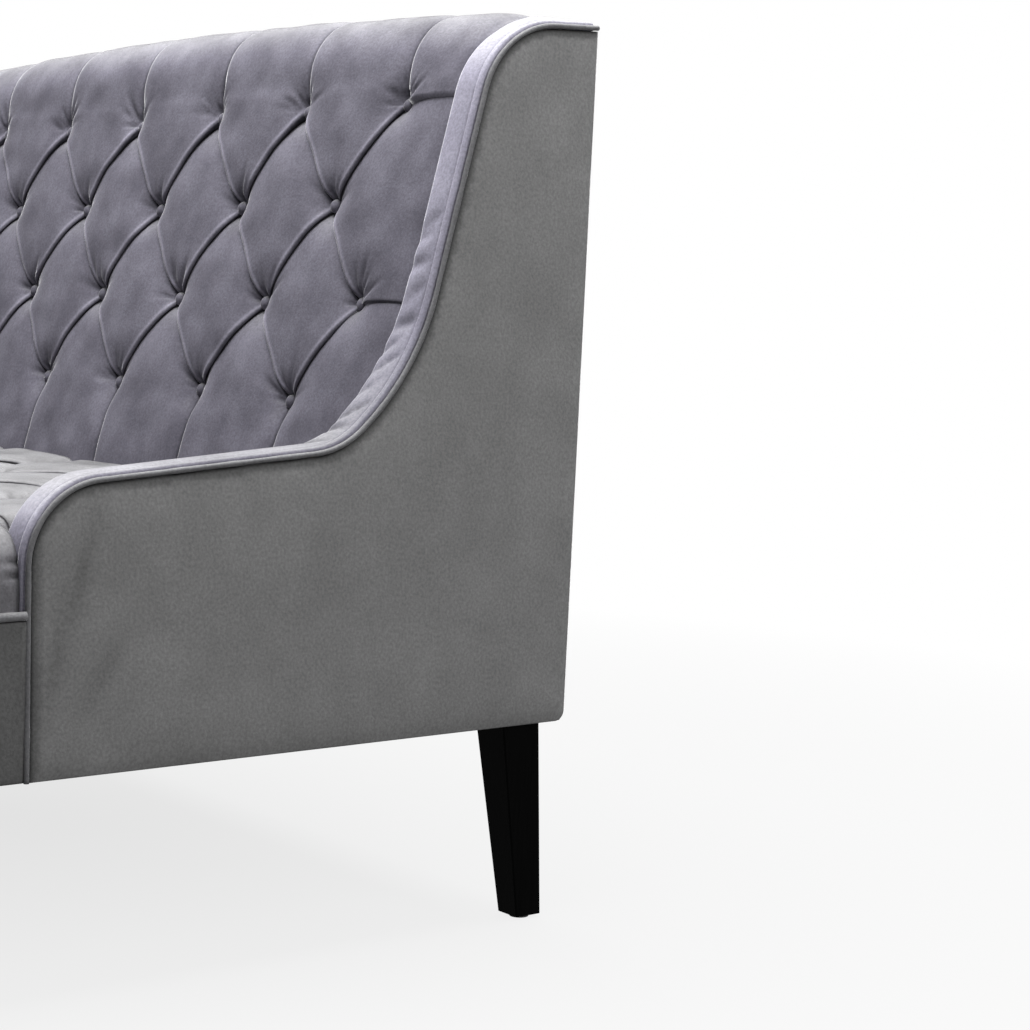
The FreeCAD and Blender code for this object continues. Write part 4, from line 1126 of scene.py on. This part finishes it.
# Painted light: the seat piping's colour is lightened throughout.
SEAT_CORD_PAINTED_LIGHT = 1.5
SEAT_PIPING_Z, SEAT_PIPING_IN = 391.0, 1.4
cord_x, cord_front = SIDE_FACE - SEAT_PIPING_IN, BORDER_FRONT + SEAT_PIPING_IN
cord_plan = front_plan(cord_x, cord_front, SEAT_CORD_CORNER, PIPING_STEP)
seat_line = points_at(*cord_plan.T, SEAT_PIPING_Z)
cover("seat_piping", *covered_cord(seat_line, SEAT_CORD, SEAT_CORD_SEED), piping_velvet_painted_shade_copy, "velvet_piping",
      "seat_welt", SEAT_CORD_PAINTED_LIGHT)

# Dust cover: black spun-bonded cloth stapled under the rails and cut round the legs. It keeps dust off the
# floor and hides the webbing.
DUST_STEP, DUST_LIFT = 20.0, 0.2
LEG_ROOM, CUT_REACH = 0.5, 0.6
cambric = surface("spun_bonded_cloth", {"Roughness": 0.95}, 3.0, "#2a2a2b", "#18181a", (1.5, 0.2))
low, high = node_box("dust_cover")
legs = [node_box(leg) for leg in LEGS]


def cut_stops(axis):
    """Places along one axis of the cloth, with a stop at each edge of the leg cut-outs."""
    edges = [[leg_low[axis] - LEG_ROOM, leg_high[axis] + LEG_ROOM] for leg_low, leg_high in legs]
    return np.unique(np.concatenate([np.arange(low[axis], high[axis], DUST_STEP), [high[axis]]] + edges))


x, y = np.meshgrid(cut_stops(0), cut_stops(1), indexing="ij")
middle_x, middle_y = (x[:-1, :-1] + x[1:, 1:]) / 2, (y[:-1, :-1] + y[1:, 1:]) / 2
free = np.ones(middle_x.shape, bool)
for leg_low, leg_high in legs:
    first, last = leg_low - CUT_REACH, leg_high + CUT_REACH
    free &= ~((middle_x > first[0]) & (middle_x < last[0]) & (middle_y > first[1]) & (middle_y < last[1]))
columns = x.shape[1]
corner = np.arange(x.size).reshape(x.shape)[:-1, :-1][free]
faces = np.column_stack([corner, corner + columns, corner + columns + 1, corner + 1]).tolist()
points = np.stack([x, y, np.full(x.shape, low[2] + DUST_LIFT)], -1).reshape(-1, 3)
dust = mesh_piece("under_cloth", points, faces, cambric)
dust.data.flip_normals()
apply(dust, "SOLIDIFY", thickness=0.0011, offset=-1.0)
stand_for(dust, "lining", "dust_cover")

# Floor, light and camera: a pale studio floor, a broad soft light overhead and a softer one from the right,
# and the camera where the picture was taken, at seated eye height off the right-hand end.
# Seen straight or mirrored, floor and sky are white, apart from the pale shadow under the sofa.
CAMERA_MM = (2772.7, -1270.8, 710.6)
CAMERA_YAW, CAMERA_PITCH, CAMERA_ROLL = math.radians(38.40), math.radians(-5.53), math.radians(1.75)
LENS_MM, SENSOR_MM = 80.01, 36.0
LAMPS = [("overhead", (0.2, 0.3, 3.0), (0.2, 0.1, 0.4), 2.4, 330.0),
         ("right_fill", (3.3, 0.7, 2.5), (0.8, 0.1, 0.6), 1.6, 58.0)]
SKY_LIGHT = 0.13
FLOOR_RADIUS = 30.0
GLOW_FULL, GLOW_NEAR = 2.4, 0.75
RAYS = "Camera", "Glossy", "Transmission"


def aimed(name, data, place, ahead, roll=0.0):
    """A camera or lamp at a place, in metres, that looks ahead and is tilted by roll."""
    held = bpy.data.objects.new(name, data)
    held.location = place
    held.rotation_euler = (ahead.to_track_quat("-Z", "Y") @ Quaternion((0, 0, 1), roll)).to_euler()
    bpy.context.scene.collection.objects.link(held)
    return held


lens = bpy.data.cameras.new("camera")
lens.lens = LENS_MM
lens.sensor_width = SENSOR_MM
level = math.cos(CAMERA_PITCH)
ahead = Vector((-math.cos(CAMERA_YAW) * level, math.sin(CAMERA_YAW) * level, math.sin(CAMERA_PITCH)))
camera = aimed("camera", lens, Vector(CAMERA_MM) / 1000, ahead, CAMERA_ROLL)
bpy.context.scene.camera = camera
for name, place, target, size, power in LAMPS:
    lamp = bpy.data.lights.new(name, "AREA")
    lamp.size = size
    lamp.energy = power
    aimed(name, lamp, place, Vector(target) - Vector(place))

world = bpy.data.worlds.new("studio")
bpy.context.scene.world = world
world.use_nodes = True
sky = world.node_tree
sky.nodes.clear()


def seen_white(tree):
    """How far a ray shows the plain white backdrop: seen straight, mirrored or through glass."""
    camera, mirror, glass = [add(tree, "LightPath", {}, f"Is {kind} Ray") for kind in RAYS]
    direct = add(tree, "Math", {"operation": "ADD", 0: camera, 1: mirror})
    return add(tree, "Math", {"operation": "ADD", "use_clamp": True, 0: direct, 1: glass})


white = add(sky, "Background", {"Color": (1, 1, 1, 1), "Strength": 1.0})
ambient = add(sky, "Background", {"Color": (1, 1, 1, 1), "Strength": SKY_LIGHT})
both = add(sky, "MixShader", {0: seen_white(sky), 1: ambient, 2: white})
sky.links.new(both, sky.nodes.new("ShaderNodeOutputWorld").inputs["Surface"])

floor_finish, floor_tree, floor_shader, floor_where = material(
    "pale_studio_floor", {"Roughness": 0.9, "Base Color": linear("#6a6a6a")})
glow = add(floor_tree, "Emission", {"Color": (1, 1, 1, 1), "Strength": 1.0})
distance = add(floor_tree, "VectorMath", {"operation": "LENGTH", 0: floor_where}, "Value")
fade = add(floor_tree, "MapRange", {"Value": distance, "From Max": GLOW_FULL, "To Min": GLOW_NEAR})
shown = add(floor_tree, "Math", {"operation": "MULTIPLY", 0: fade, 1: seen_white(floor_tree)})
blended = add(floor_tree, "MixShader", {0: shown, 1: floor_shader.outputs[0], 2: glow})
floor_tree.links.new(blended, floor_tree.nodes["Material Output"].inputs["Surface"])
bpy.ops.mesh.primitive_circle_add(vertices=96, radius=FLOOR_RADIUS, fill_type="NGON")
ground = bpy.context.object
ground.name = "studio_floor"
ground.data.materials.append(floor_finish)
bpy.context.scene.view_settings.view_transform = "Standard"
